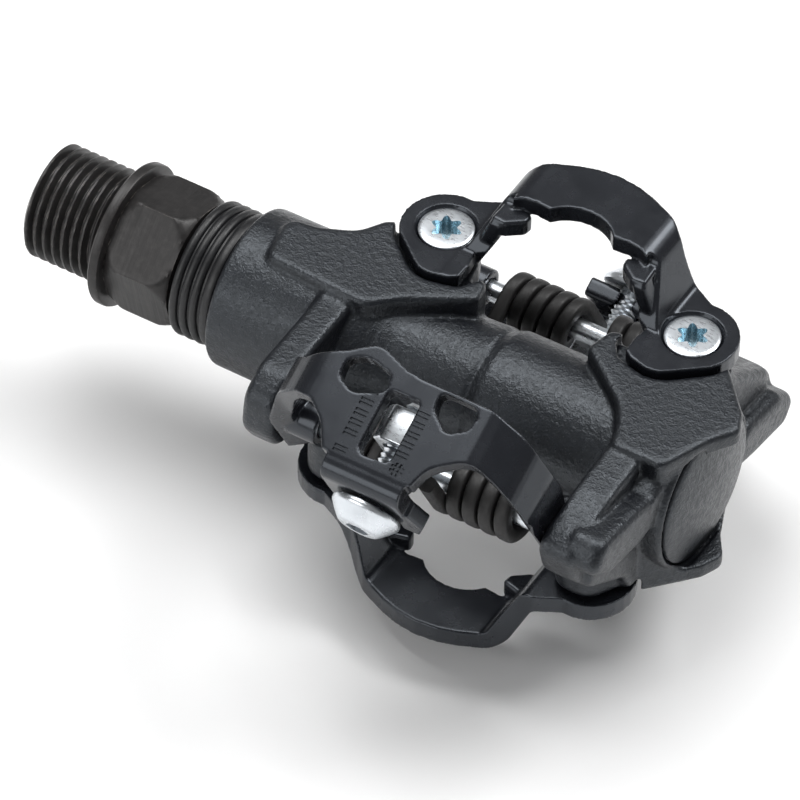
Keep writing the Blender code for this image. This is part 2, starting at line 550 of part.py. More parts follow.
for side, x, stations in (("left", -4.2, (3.5, 5.0, 6.4, 7.7, 9.0)), ("right", 2.6, (3.8, 5.1, 6.4, 7.7, 9.0))):
    for k, v in enumerate(stations):
        cut(jaw, jaw_slab("mark_%s_%d" % (side, k), [(x - 0.75, v - 0.3), (x + 0.75, v - 0.3), (x + 0.75, v + 0.3),
                                                    (x - 0.75, v + 0.3)], JAW_TOP, -0.25, 1))
cut(jaw, jaw_slab("mark_minus", [(-5.2, 10.9), (-3.6, 10.9), (-3.6, 11.5), (-5.2, 11.5)], JAW_TOP, -0.25, 1))
for name, outline, depth in (
        ("mark_plus_a", [(2.1, 10.4), (3.7, 10.4), (3.7, 10.95), (2.1, 10.95)], -0.25),
        ("mark_plus_b", [(2.62, 9.85), (3.18, 9.85), (3.18, 11.5), (2.62, 11.5)], -0.3)):
    cut(jaw, jaw_slab(name, outline, JAW_TOP, depth, 1.3 + depth))
SCREW_X = -0.4
cut(jaw, rod("jaw_pin_hole", PIN_R + 0.12, -24, 24, (0, PIN_Y, PIN_Z), (1, 0, 0), 20),
    rod("jaw_screw_hole", 2.1, 11, 16, jaw_point(SCREW_X, 0, SCREW_N) - Vector((CLEAT_X, 0, 0)), SLOPE, 20))
top_jaw = settle(jaw, "rear_jaw_top", "gloss", PIN, angle=30)
twin_part(top_jaw, "rear_jaw_bottom")

# pivot pin
pin = settle(turned("pin_raw", [(-22.0, 0), (-22.0, PIN_R - 0.25), (-21.75, PIN_R), (21.05, PIN_R),
                                (21.3, PIN_R - 0.25), (21.3, 0)], (0, PIN_Y, PIN_Z), steps=16),
             "pivot_pin_top", "zinc", PIN)
twin_part(pin, "pivot_pin_bottom")

# tension screw and the nut that it draws along the slope
SCREW_AT = jaw_point(SCREW_X, 0, SCREW_N)
raw = turned("tension_raw", [
    (1.6, 0), (1.6, 1.3), (2.0, 1.7), (14.9, 1.7), (14.95, 3.9), (15.1, 4.2), (15.6, 4.3), (15.9, 4.15), (17.3, 2.85),
    (17.6, 2.4), (17.7, 0)], SCREW_AT - Vector((CLEAT_X, 0, 0)), SLOPE, steps=20)
cut(raw, slab("tension_key", [(1.5 * math.cos(k * math.pi / 3), 1.5 * math.sin(k * math.pi / 3)) for k in range(6)],
              JAW_FACE, SCREW_AT, 16.0, 20))
screw = settle(raw, "tension_screw_top", "zinc", SCREW_AT + SLOPE * 14.9)
twin_part(screw, "tension_screw_bottom")
nut = jaw_slab("nut_raw", rounded([
    (SCREW_X - 3.0, -10.6, 0.8), (SCREW_X + 3.7, -10.6, 0.8), (SCREW_X + 3.7, -9.3, 0.6), (SCREW_X + 2.9, -8.6, 0.6),
    (SCREW_X + 2.9, -4.8, 0.6), (SCREW_X + 1.7, -3.0, 0.6), (SCREW_X - 1.7, -3.0, 0.6),
    (SCREW_X - 3.0, -4.8, 0.6)], 2), JAW_FACE, NUT_V - 2.2, NUT_V + 2.2)
cut(nut, rod("nut_thread", 2.0, -1, 14, SCREW_AT - Vector((CLEAT_X, 0, 0)), SLOPE, 20))
nut_part = settle(nut, "tension_nut_top", "zinc", SCREW_AT + SLOPE * NUT_V)
twin_part(nut_part, "tension_nut_bottom")


def coil(name, start, pitch, lean):
    """A torsion spring about the pin: a leg that rests behind the nut, 4 turns, a leg towards the hub."""
    mean = COIL_R - WIRE_R
    sweep = -2 * math.pi * 4.25      # angle 0 is along SLOPE, 90 degrees is along RISE
    count = 51
    points = [PIN + Vector((start, 0, 0)) + SLOPE * mean + RISE * 7.2]
    for k in range(count + 1):
        a = sweep * k / count
        points.append(PIN + Vector((start + lean * pitch * 4.25 * k / count, 0, 0))
                      + SLOPE * (mean * math.cos(a)) + RISE * (mean * math.sin(a)))
    points.append(points[-1] - SLOPE * 5.0)
    curve = bpy.data.curves.new(name, "CURVE")
    curve.dimensions = "3D"
    curve.bevel_depth = WIRE_R * MM
    curve.bevel_resolution = 1
    curve.use_fill_caps = True
    spline = curve.splines.new("POLY")
    spline.points.add(len(points) - 1)
    for point, co in zip(spline.points, points):
        point.co = (*(co * MM), 1)
    raw = bpy.data.objects.new(name + "_wire", curve)
    tools.objects.link(raw)
    bpy.context.view_layer.update()
    mesh = bpy.data.meshes.new_from_object(raw.evaluated_get(bpy.context.evaluated_depsgraph_get()))
    bpy.data.objects.remove(raw, do_unlink=True)
    bm = bmesh.new()
    bm.from_mesh(mesh)
    bmesh.ops.remove_doubles(bm, verts=bm.verts, dist=0.000002)
    bmesh.ops.recalc_face_normals(bm, faces=bm.faces)
    bm.to_mesh(mesh)
    bm.free()
    return settle(add(name + "_mesh", mesh), name, "spring", PIN)


inner_spring = coil("torsion_spring_inner_top", -1.6, 2.0, -1)
twin_part(inner_spring, "torsion_spring_inner_bottom")
outer_spring = coil("torsion_spring_outer_top", 3.7, 2.14, 1)
twin_part(outer_spring, "torsion_spring_outer_bottom")
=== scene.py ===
"""The looks of the clipless pedal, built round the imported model. Millimetres, scaled to metres by MM."""
import json
import math

import bmesh
import bpy
from mathutils import Matrix, Vector

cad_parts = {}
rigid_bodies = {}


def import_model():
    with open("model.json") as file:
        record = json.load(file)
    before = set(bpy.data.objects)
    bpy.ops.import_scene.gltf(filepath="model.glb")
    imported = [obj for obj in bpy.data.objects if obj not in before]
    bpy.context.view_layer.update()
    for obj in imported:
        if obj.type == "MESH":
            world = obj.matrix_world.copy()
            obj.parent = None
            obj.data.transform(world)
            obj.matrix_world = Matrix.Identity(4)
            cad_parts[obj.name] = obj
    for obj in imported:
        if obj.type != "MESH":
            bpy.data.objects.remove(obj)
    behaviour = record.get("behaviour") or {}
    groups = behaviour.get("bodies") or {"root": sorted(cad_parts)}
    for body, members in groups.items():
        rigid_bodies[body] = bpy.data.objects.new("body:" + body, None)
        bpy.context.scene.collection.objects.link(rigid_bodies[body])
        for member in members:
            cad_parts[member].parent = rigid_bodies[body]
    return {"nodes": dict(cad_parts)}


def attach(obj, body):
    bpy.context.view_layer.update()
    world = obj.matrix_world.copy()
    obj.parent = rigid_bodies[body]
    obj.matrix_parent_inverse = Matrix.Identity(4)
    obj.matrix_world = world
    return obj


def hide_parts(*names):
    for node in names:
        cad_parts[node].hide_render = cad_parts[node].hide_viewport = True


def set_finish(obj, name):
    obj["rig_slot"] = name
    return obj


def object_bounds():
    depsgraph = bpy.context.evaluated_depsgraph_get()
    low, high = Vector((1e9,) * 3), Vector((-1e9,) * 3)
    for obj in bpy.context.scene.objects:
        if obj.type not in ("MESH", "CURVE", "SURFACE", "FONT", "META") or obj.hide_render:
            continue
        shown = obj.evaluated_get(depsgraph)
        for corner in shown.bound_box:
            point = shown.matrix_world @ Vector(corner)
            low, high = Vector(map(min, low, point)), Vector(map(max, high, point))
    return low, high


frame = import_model()
CAD_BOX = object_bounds()

# ---------------------------------------------------------------- driving dimensions (mm)
MM = 0.001
GAP = 0.3                    # clearance between neighbouring pieces
CLEAT_X = 16.7               # reference plane of the cleat area, from the middle of the length
BAIL_X = 1.4                 # mirror plane of the bails, from the cleat plane
JAW_X = -0.85                # middle of the pocket that holds each jaw, from the cleat plane

# spindle, stations measured from the cleat plane
THREAD_R, THREAD_ROOT_R, THREAD_PITCH, THREAD_TURNS = 7.144, 6.35, 1.27, 8     # 9/16 in x 20 TPI
THREAD_END = -63.4
COLLAR_FACE, COLLAR_END, COLLAR_R = -52.6, -51.2, 9.14
HEX_AF, HEX_END, HEX_PHASE = 15.0, -42.4, math.radians(14.5)
SOCKET_AF, SOCKET_DEPTH = 8.0, 9.0
JOURNAL_R, MID_R, RACE_SEAT_R = 6.5, 5.5, 4.4
JOURNAL_END, SHOULDER, SPINDLE_END = -20.8, 17.8, 26.0

# body
TUBE_FACE, TUBE_R = -35.7, 10.07
BARREL_R, WAIST_R = 8.6, 7.7
END_R, END_FACE = 10.3, 26.6
PLATE_Z = 10.6               # height of the top platforms over the axis
EAR_TOP, SHEET = 11.2, 2.4   # bail ears: top surface, sheet thickness
RECESS_Z = EAR_TOP - SHEET - GAP - 0.1

# bails
SCREW_DX, SCREW_Y = 16.68, 11.2
ARCH_TOP = 18.6
CLEAT_ARC_R = 5.25

# jaws
JAW_SLOPE = math.radians(28.3)
LIP_Y, LIP_Z = -21.04, 22.17
PIN_Y, PIN_Z, PIN_R = -19.0, 5.0, 1.3
POCKET_LO, POCKET_HI = -18.9, 17.9
COIL_R, WIRE_R = 3.65, 0.9
SCREW_N, NUT_V = -6.5, 5.3   # tension screw: depth under the jaw's top face, nut station on the slope

STEPS = 96



parts = bpy.data.collections.new("pedal_looks")
tools = bpy.data.collections.new("helpers")
bpy.context.scene.collection.children.link(parts)
bpy.context.scene.collection.children.link(tools)

# ---------------------------------------------------------------- materials


class Nodes:
    """A short way to write a node tree."""

    def __init__(self, name):
        self.material = bpy.data.materials.new(name)
        self.material.use_nodes = True
        self.tree = self.material.node_tree
        self.shader = self.tree.nodes["Principled BSDF"]
        self.place = self.tree.nodes.new("ShaderNodeTexCoord").outputs["Object"]

    def new(self, kind, inputs=None, **settings):
        node = self.tree.nodes.new(kind)
        for key, value in settings.items():
            setattr(node, key, value)
        for key, value in (inputs or {}).items():
            self.put(node.inputs[key], value)
        return node

    def put(self, socket, value):
        if isinstance(value, bpy.types.NodeSocket):
            self.tree.links.new(value, socket)
        else:
            socket.default_value = value

    def noise(self, size_mm, detail=4.0, rough=0.55, distortion=0.0, stretch=None):
        """Noise whose features are about size_mm across; stretch multiplies the frequency along each axis."""
        place = self.place
        if stretch:
            place = self.new("ShaderNodeVectorMath", {0: place, 1: stretch}, operation="MULTIPLY").outputs[0]
        return self.new("ShaderNodeTexNoise", {
            "Vector": place, "Scale": 1000.0 / size_mm, "Detail": detail, "Roughness": rough,
            "Distortion": distortion}).outputs["Fac"]

    def cells(self, size_mm, feature="F1", smooth=0.0):
        node = self.new("ShaderNodeTexVoronoi", {"Vector": self.place, "Scale": 1000.0 / size_mm}, feature=feature)
        return node.outputs["Distance"]

    def ramp(self, value, *stops):
        """Grey or colour stops: (position, colour or grey)."""
        node = self.new("ShaderNodeValToRGB", {"Fac": value})
        ramp = node.color_ramp
        while len(ramp.elements) < len(stops):
            ramp.elements.new(0.5)
        for element, (at, colour) in zip(ramp.elements, stops):
            element.position = at
            element.color = (*colour, 1) if isinstance(colour, tuple) else (colour, colour, colour, 1)
        return node.outputs["Color"]

    def math(self, operation, a, b=0.0, clamp=False):
        return self.new("ShaderNodeMath", {0: a, 1: b}, operation=operation, use_clamp=clamp).outputs[0]

    def mix(self, factor, a, b):
        node = self.new("ShaderNodeMix", data_type="RGBA")
        self.put(node.inputs[0], factor)
        self.put(node.inputs[6], a)
        self.put(node.inputs[7], b)
        return node.outputs[2]

    def bump(self, height, depth_mm, strength=1.0, normal=None):
        inputs = {"Height": height, "Distance": depth_mm * MM, "Strength": strength}
        if normal is not None:
            inputs["Normal"] = normal
        return self.new("ShaderNodeBump", inputs).outputs["Normal"]

    def edges(self, radius_mm, low=0.02, high=0.25):
        """A mask of worn convex edges, from how far a rounded normal leans from the true one."""
        soft = self.new("ShaderNodeBevel", {"Radius": radius_mm * MM}, samples=6).outputs["Normal"]
        true = self.new("ShaderNodeNewGeometry").outputs["Normal"]
        dot = self.new("ShaderNodeVectorMath", {0: soft, 1: true}, operation="DOT_PRODUCT").outputs["Value"]
        lean = self.math("SUBTRACT", 1.0, dot)
        node = self.new("ShaderNodeMapRange", {"Value": lean, "From Min": low, "From Max": high})
        return node.outputs["Result"]

    def set(self, **values):
        for key, value in values.items():
            self.put(self.shader.inputs[key.replace("_", " ")], value)
        return self.material


def rgb(r, g, b):
    return (r, g, b, 1.0)


def coat_material(name):
    """Textured charcoal powder coat: leathery grain, painted glints for its sparkle, painted shade darkening the pits.
    """
    n = Nodes(name)
    grain = n.noise(0.75, detail=3.0, rough=0.55, distortion=0.4)
    fine = n.noise(0.24, detail=2.0, rough=0.5)
    broad = n.noise(8.0, detail=2.0)
    shape = n.math("ADD", n.math("MULTIPLY", grain, 0.7), n.math("MULTIPLY", fine, 0.3))
    # painted shade: the grain's pits are coloured darker than its crests, following the bump height
    pit_shade_mask = n.ramp(shape, (0.42, 0.0), (0.60, 1.0))
    colour = n.mix(pit_shade_mask, rgb(0.0022, 0.0025, 0.0036), rgb(0.0062, 0.0070, 0.0098))
    colour = n.mix(n.ramp(broad, (0.35, 0.0), (0.7, 0.4)), colour, rgb(0.0042, 0.0047, 0.0066))
    # painted glints: small light grey specks in the colour stand in for light sparkling off the grain
    painted_glint_mask = n.ramp(n.noise(0.18, detail=0.0), (0.71, 0.0), (0.79, 1.0))
    colour = n.mix(n.math("MULTIPLY", painted_glint_mask, 0.3), colour, rgb(0.10, 0.105, 0.115))
    roughness = n.new("ShaderNodeMapRange", {"Value": shape, "From Min": 0.35, "From Max": 0.65,
                                            "To Min": 0.48, "To Max": 0.27}).outputs["Result"]
    return n.set(Base_Color=colour, Roughness=roughness, Metallic=0.0, Specular_IOR_Level=0.62,
                 Specular_Tint=rgb(0.86, 0.93, 1.0), Normal=n.bump(shape, 0.20, 0.9))


def gloss_material(name):
    """Smooth electrophoretic black over pressed steel, with a faint orange peel and a few dust specks."""
    n = Nodes(name)
    peel = n.noise(1.8, detail=2.0, rough=0.4)
    broad = n.noise(9.0, detail=3.0)
    specks = n.ramp(n.noise(0.30, detail=1.0), (0.76, 0.0), (0.82, 1.0))
    colour = n.mix(broad, rgb(0.0050, 0.0054, 0.0072), rgb(0.0090, 0.0096, 0.0125))
    colour = n.mix(n.math("MULTIPLY", specks, 0.10), colour, rgb(0.10, 0.10, 0.11))
    roughness = n.new("ShaderNodeMapRange", {"Value": n.noise(3.0, detail=5.0), "From Min": 0.3, "From Max": 0.7,
                                            "To Min": 0.22, "To Max": 0.30}).outputs["Result"]
    return n.set(Base_Color=colour, Roughness=roughness, Metallic=0.0, Specular_IOR_Level=0.62,
                 Specular_Tint=rgb(0.84, 0.91, 1.0), Normal=n.bump(peel, 0.010, 0.3))


def steel_material(name):
    """Dark phosphate on a turned axle: fine turning lines, worn bright along the edges."""
    n = Nodes(name)
    rings = n.noise(0.5, detail=3.0, stretch=(3.0, 0.05, 0.05))
    broad = n.noise(4.0, detail=4.0)
    mottle = n.noise(0.9, detail=4.0)
    edge = n.edges(0.24, 0.035, 0.22)
    scuff = n.math("MULTIPLY", edge, n.ramp(n.noise(0.8, detail=4.0), (0.44, 0.0), (0.66, 0.85)), clamp=True)
    colour = n.mix(broad, rgb(0.0135, 0.0128, 0.0130), rgb(0.031, 0.0292, 0.0290))
    colour = n.mix(n.ramp(mottle, (0.45, 0.0), (0.7, 0.35)), colour, rgb(0.048, 0.0450, 0.0440))
    colour = n.mix(scuff, colour, rgb(0.30, 0.27, 0.245))
    roughness = n.new("ShaderNodeMapRange", {"Value": rings, "From Min": 0.3, "From Max": 0.7,
                                            "To Min": 0.30, "To Max": 0.48}).outputs["Result"]
    return n.set(Base_Color=colour, Roughness=roughness, Metallic=0.35, Specular_IOR_Level=0.5,
                 Normal=n.bump(rings, 0.015, 0.5))


def plated_material(name, colour_a, colour_b, rough=(0.12, 0.28), grain=0.7, depth=0.012):
    """Bright plate or ground steel, with faint haze and fine scratches."""
    n = Nodes(name)
    haze = n.noise(2.4, detail=5.0)
    scratch = n.noise(grain, detail=4.0, stretch=(1.0, 3.5, 1.0))
    colour = n.mix(haze, colour_a, colour_b)
    roughness = n.new("ShaderNodeMapRange", {"Value": scratch, "From Min": 0.3, "From Max": 0.7,
                                            "To Min": rough[0], "To Max": rough[1]}).outputs["Result"]
    return n.set(Base_Color=colour, Roughness=roughness, Metallic=1.0, Normal=n.bump(scratch, depth, 0.5))


def matte_material(name, low, high, rough, size, depth, specular=0.35):
    """Matte rubber or oxide: mottled, with a soft micro-grain."""
    n = Nodes(name)
    mottled = n.noise(size * 4, detail=4.0)
    grain = n.noise(size, detail=3.0)
    colour = n.mix(mottled, low, high)
    roughness = n.new("ShaderNodeMapRange", {"Value": grain, "From Min": 0.3, "From Max": 0.7,
                                            "To Min": rough[0], "To Max": rough[1]}).outputs["Result"]
    return n.set(Base_Color=colour, Roughness=roughness, Specular_IOR_Level=specular, Normal=n.bump(grain, depth, 0.6))


FINISH = {
    "body": coat_material("charcoal_powder_coat"),
    "steel": steel_material("phosphated_axle_steel"),
    "gloss": gloss_material("gloss_black_sheet"),
    "zinc": plated_material("bright_zinc", rgb(0.60, 0.64, 0.68), rgb(0.76, 0.79, 0.82), (0.24, 0.36), 1.1, 0.005),
    "blue_zinc": plated_material("blue_passivated_recess", rgb(0.40, 0.55, 0.62), rgb(0.62, 0.74, 0.80), (0.18, 0.34)),
    "spring": matte_material("spring_black", rgb(0.0085, 0.0082, 0.0084), rgb(0.0165, 0.0158, 0.0158), (0.42, 0.62), 0.4, 0.02, 0.45),
    "rubber": matte_material("seal_black", rgb(0.0035, 0.0037, 0.0045), rgb(0.0080, 0.0085, 0.0100), (0.34, 0.5), 0.5, 0.02, 0.5),
    "bearing": plated_material("ground_bearing_steel", rgb(0.46, 0.47, 0.49), rgb(0.60, 0.61, 0.63)),
    "bronze": plated_material("bush_bronze", rgb(0.36, 0.22, 0.10), rgb(0.52, 0.34, 0.17), (0.28, 0.5)),
}


def tool(obj):
    """Marks an object as a helper that only cuts or is joined into a piece."""
    obj.hide_render = True
    obj.display_type = "WIRE"
    return obj


def add(name, mesh, where=tools, finish=None):
    obj = bpy.data.objects.new(name, mesh)
    where.objects.link(obj)
    if where is tools:
        tool(obj)
    if finish:
        obj.data.materials.append(FINISH[finish])
    return obj


def smooth(obj, angle=35):
    obj.data.shade_smooth()
    obj.data.set_sharp_from_angle(angle=math.radians(angle))


def rounded(corners, per_quarter=10):
    """Outline of a polygon whose corners (x, y, radius) are filleted."""
    out = []
    count = len(corners)
    for i in range(count):
        p = Vector(corners[i][:2])
        r = corners[i][2] if len(corners[i]) > 2 else 0
        if r <= 0:
            out.append(tuple(p))
            continue
        a = (Vector(corners[i - 1][:2]) - p)
        b = (Vector(corners[(i + 1) % count][:2]) - p)
        la, lb = a.length, b.length
        a.normalize()
        b.normalize()
        half = math.acos(max(-1, min(1, a.dot(b)))) / 2
        if half > math.radians(87):
            out.append(tuple(p))
            continue
        reach = min(r / math.tan(half), 0.49 * la, 0.49 * lb)
        r = reach * math.tan(half)
        centre = p + (a + b).normalized() * (r / math.sin(half))
        start, end = p + a * reach - centre, p + b * reach - centre
        turn = math.atan2(start.x * end.y - start.y * end.x, start.dot(end))
        steps = max(1, round(per_quarter * abs(turn) / (math.pi / 2)))
        for k in range(steps + 1):
            t = turn * k / steps
            out.append((centre.x + start.x * math.cos(t) - start.y * math.sin(t),
                        centre.y + start.x * math.sin(t) + start.y * math.cos(t)))
    return out


def frame_of(first, second, third):
    """Axes of an outline: its first direction, its second, and the direction of extrusion."""
    return Matrix((first, second, third)).transposed()


PLANES = {
    "XY": frame_of((1, 0, 0), (0, 1, 0), (0, 0, 1)),
    "YZ": frame_of((0, 1, 0), (0, 0, 1), (1, 0, 0)),
    "XZ": frame_of((1, 0, 0), (0, 0, 1), (0, 1, 0)),
}
# a jaw's own frame: along X, down its slope (v), and out of its top face (n)
SLOPE = Vector((0, -math.cos(JAW_SLOPE), -math.sin(JAW_SLOPE)))
RISE = Vector((0, -math.sin(JAW_SLOPE), math.cos(JAW_SLOPE)))
LIP = Vector((CLEAT_X, LIP_Y, LIP_Z))
JAW_TOP = frame_of((1, 0, 0), SLOPE, RISE)       # outlines (x, v), extruded along n
JAW_FACE = frame_of((1, 0, 0), RISE, SLOPE)      # outlines (x, n), extruded along v
JAW_SIDE = frame_of(SLOPE, RISE, (1, 0, 0))      # outlines (v, n), extruded along X


def jaw_point(x, v, n):
    """World position, mm, of a point given in a jaw's own frame; x counts from the cleat plane."""
    return LIP + Vector((x, 0, 0)) + SLOPE * v + RISE * n


def slab(name, outline, axes, origin, low, high, bevel=0.0, segments=1):
    """A flat outline (mm) extruded from low to high along the third of three axes."""
    curve = bpy.data.curves.new(name, "CURVE")
    curve.dimensions = "2D"
    curve.fill_mode = "BOTH"
    curve.extrude = (high - low) / 2 * MM
    spline = curve.splines.new("POLY")
    spline.points.add(len(outline) - 1)
    for point, (a, b) in zip(spline.points, outline):
        point.co = (a * MM, b * MM, 0, 1)
    spline.use_cyclic_u = True
    flat = bpy.data.objects.new(name + "_outline", curve)
    tools.objects.link(flat)
    bpy.context.view_layer.update()
    mesh = bpy.data.meshes.new_from_object(
        flat.evaluated_get(bpy.context.evaluated_depsgraph_get()))
    middle = Vector(origin) + axes @ Vector((0, 0, (low + high) / 2))
    mesh.transform(Matrix.Translation(middle * MM) @ axes.to_4x4())
    bpy.data.objects.remove(flat, do_unlink=True)
    bm = bmesh.new()
    bm.from_mesh(mesh)
    bmesh.ops.remove_doubles(bm, verts=bm.verts, dist=0.000002)
    bmesh.ops.dissolve_limit(bm, angle_limit=math.radians(0.5), verts=bm.verts, edges=bm.edges)
    bmesh.ops.recalc_face_normals(bm, faces=bm.faces)
    bm.to_mesh(mesh)
    bm.free()
    obj = add(name, mesh)
    if bevel:
        edge = obj.modifiers.new("edge", "BEVEL")
        edge.width = bevel * MM
        edge.segments = segments
        edge.limit_method = "ANGLE"
        edge.angle_limit = math.radians(40)
    return obj


def plain(name, outline, plane, low, high, **more):
    """slab() on a world plane; X coordinates count from the cleat plane."""
    return slab(name, outline, PLANES[plane], (CLEAT_X, 0, 0), low, high, **more)


def jaw_slab(name, outline, axes, low, high, **more):
    return slab(name, outline, axes, LIP, low, high, **more)


def turned(name, profile, origin=(0, 0, 0), direction=(1, 0, 0), where=tools, finish=None,
           steps=STEPS):
    """A profile of (station along the axis, radius), in mm, turned about that axis."""
    points = [(s, r) for s, r in profile]
    area = sum(points[i - 1][1] * points[i][0] - points[i][1] * points[i - 1][0]
               for i in range(len(points)))
    if area > 0:
        points.reverse()
    on_axis = [i for i, (s, r) in enumerate(points) if r == 0]
    closed = not on_axis
    if len(on_axis) == 2 and on_axis != [0, len(points) - 1]:
        cut = on_axis[1]
        points = points[cut:] + points[:cut]
    mesh = bpy.data.meshes.new(name)
    verts = [(r * MM, 0, s * MM) for s, r in points]
    edges = [(i, i + 1) for i in range(len(points) - 1)]
    if closed:
        edges.append((len(points) - 1, 0))
    mesh.from_pydata(verts, edges, [])
    obj = add(name, mesh, where, finish)
    screw = obj.modifiers.new("turn", "SCREW")
    screw.axis = "Z"
    screw.steps = steps
    screw.render_steps = steps
    screw.use_merge_vertices = True
    screw.merge_threshold = 0.00001
    screw.use_smooth_shade = True
    obj.location = (Vector((CLEAT_X, 0, 0)) + Vector(origin)) * MM
    obj.rotation_euler = Vector((0, 0, 1)).rotation_difference(Vector(direction)).to_euler()
    return obj


def rod(name, radius, low, high, origin, direction, segments=64, where=tools):
    """A plain cylinder from low to high, in mm, along a direction through an origin."""
    mesh = bpy.data.meshes.new(name)
    bm = bmesh.new()
    bmesh.ops.create_cone(bm, cap_ends=True, segments=segments, radius1=radius * MM,
                          radius2=radius * MM, depth=(high - low) * MM)
    bm.to_mesh(mesh)
    bm.free()
    obj = add(name, mesh, where)
    way = Vector(direction).normalized()
    obj.location = (Vector((CLEAT_X, 0, 0)) + Vector(origin) + way * (low + high) / 2) * MM
    obj.rotation_euler = Vector((0, 0, 1)).rotation_difference(way).to_euler()
    return obj


def boolean(obj, operation, *others):
    for other in others:
        mod = obj.modifiers.new(operation.lower() + "_" + other.name, "BOOLEAN")
        mod.operation = operation
        mod.object = other
        mod.solver = "EXACT"
    return obj


def join(obj, *others):
    return boolean(obj, "UNION", *others)


def cut(obj, *others):
    return boolean(obj, "DIFFERENCE", *others)


def half_turn(obj, name):
    """The same mesh and modifiers, turned half a turn about the spindle axis."""
    twin = obj.copy()
    twin.name = name
    for home in obj.users_collection:
        home.objects.link(twin)
    bpy.context.view_layer.update()
    twin.matrix_world = Matrix.Rotation(math.pi, 4, "X") @ obj.matrix_world
    return twin


def settle(obj, name, finish, origin=None, angle=35):
    """Turns an object with its modifiers into a part with a plain mesh, its origin where asked (mm)."""
    bpy.context.view_layer.update()
    mesh = bpy.data.meshes.new_from_object(
        obj.evaluated_get(bpy.context.evaluated_depsgraph_get()))
    mesh.transform(obj.matrix_world)
    mesh.name = name
    mesh.materials.clear()
    mesh.materials.append(FINISH[finish])
    place = Vector(origin) * MM if origin else Vector((0, 0, 0))
    mesh.transform(Matrix.Translation(-place))
    part = bpy.data.objects.new(name, mesh)
    parts.objects.link(part)
    part.location = place
    smooth(part, angle)
    return part


def twin_part(part, name):
    """A second copy of a finished part for the pedal's other side."""
    other = bpy.data.objects.new(name, part.data)
    parts.objects.link(other)
    bpy.context.view_layer.update()
    other.matrix_world = Matrix.Rotation(math.pi, 4, "X") @ part.matrix_world
    return other


def mirrored(half, centre):
    """Closes a half outline (distance from the mirror plane, y) about that plane."""
    right = [(centre + d, y) for d, y in half]
    left = [(centre - d, y) for d, y in reversed(half) if d > 1e-6]
    return right + left




SLOT = {"body": "body", "steel": "steel", "gloss": "gloss", "zinc": "zinc", "blue_zinc": "zinc", "spring": "spring",
        "rubber": "rubber", "bearing": "bearing", "bronze": "bronze"}


def soften(obj, voxel, passes, factor=0.5):
    """Rounds every edge and junction a little: an even fine mesh over the shape, then smoothed."""
    remesh = obj.modifiers.new("even_mesh", "REMESH")
    remesh.mode = "VOXEL"
    remesh.voxel_size = voxel * MM
    remesh.use_smooth_shade = True
    relax = obj.modifiers.new("relax", "SMOOTH")
    relax.factor = factor
    relax.iterations = passes
    return obj


def piece(raw, name, finish, body, nodes=(), angle=180):
    """Turns a raw shape into a shown piece: plain mesh, material, body, and the CAD nodes it stands for."""
    part = settle(raw, name, finish, angle=angle)
    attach(part, body)
    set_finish(part, SLOT[finish])
    if nodes:
        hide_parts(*nodes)
    return part


def twin_piece(part, name, body, nodes=()):
    """The same piece half a turn about the spindle axis."""
    mesh = part.data.copy()
    mesh.transform(Matrix.Rotation(math.pi, 4, "X"))
    other = bpy.data.objects.new(name, mesh)
    parts.objects.link(other)
    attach(other, body)
    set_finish(other, part["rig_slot"])
    if nodes:
        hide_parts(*nodes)
    return other


def lathe(name, rings, steps=144):
    """A closed body of revolution-like rings. Each ring is (station, radius or function of angle); ends are closed."""
    bm = bmesh.new()
    loops = []
    for station, radius in rings:
        at = station if callable(station) else (lambda a, s=station: s)
        rad = radius if callable(radius) else (lambda a, r=radius: r)
        loop = []
        for k in range(steps):
            a = 2 * math.pi * k / steps
            r = rad(a)
            loop.append(bm.verts.new(((at(a) + CLEAT_X) * MM, -r * math.sin(a) * MM, r * math.cos(a) * MM)))
        loops.append(loop)
    for one, two in zip(loops, loops[1:]):
        for k in range(steps):
            n = (k + 1) % steps
            bm.faces.new((one[k], one[n], two[n], two[k]))
    for loop in (loops[0], loops[-1]):
        centre = Vector((sum(v.co.x for v in loop) / steps, 0, 0))
        hub = bm.verts.new(centre)
        for k in range(steps):
            bm.faces.new((loop[k], loop[(k + 1) % steps], hub))
    bmesh.ops.recalc_face_normals(bm, faces=bm.faces)
    mesh = bpy.data.meshes.new(name)
    bm.to_mesh(mesh)
    bm.free()
    return add(name, mesh)


# ---------------------------------------------------------------- spindle: thread, collar, hexagon, journal
def flat_bar(across, count, phase, limit):
    """Radius of a regular bar with its corners cut back to a limit."""
    half = math.pi / count

    def radius(a):
        turn = (a - phase + half) % (2 * half) - half
        return min(across / 2 / math.cos(half - abs(turn)), limit)
    return radius


def thread_ring(station):
    """Radius of the external thread at a station: a true helix, fading out at both ends."""
    first, last = THREAD_END + 0.5, COLLAR_FACE - 1.6

    def radius(a):
        turn = ((station - THREAD_END) / THREAD_PITCH - a / (2 * math.pi)) % 1.0
        rise = min(1.0, max(0.0, 1.32 - 2.9 * abs(turn - 0.5)))
        ends = min(1.0, max(0.0, (station - THREAD_END + 0.35) / 0.7)) * min(1.0, max(0.0, (last + 0.6 - station) / 0.7))
        return THREAD_ROOT_R + (THREAD_R - THREAD_ROOT_R) * rise * ends
    return radius


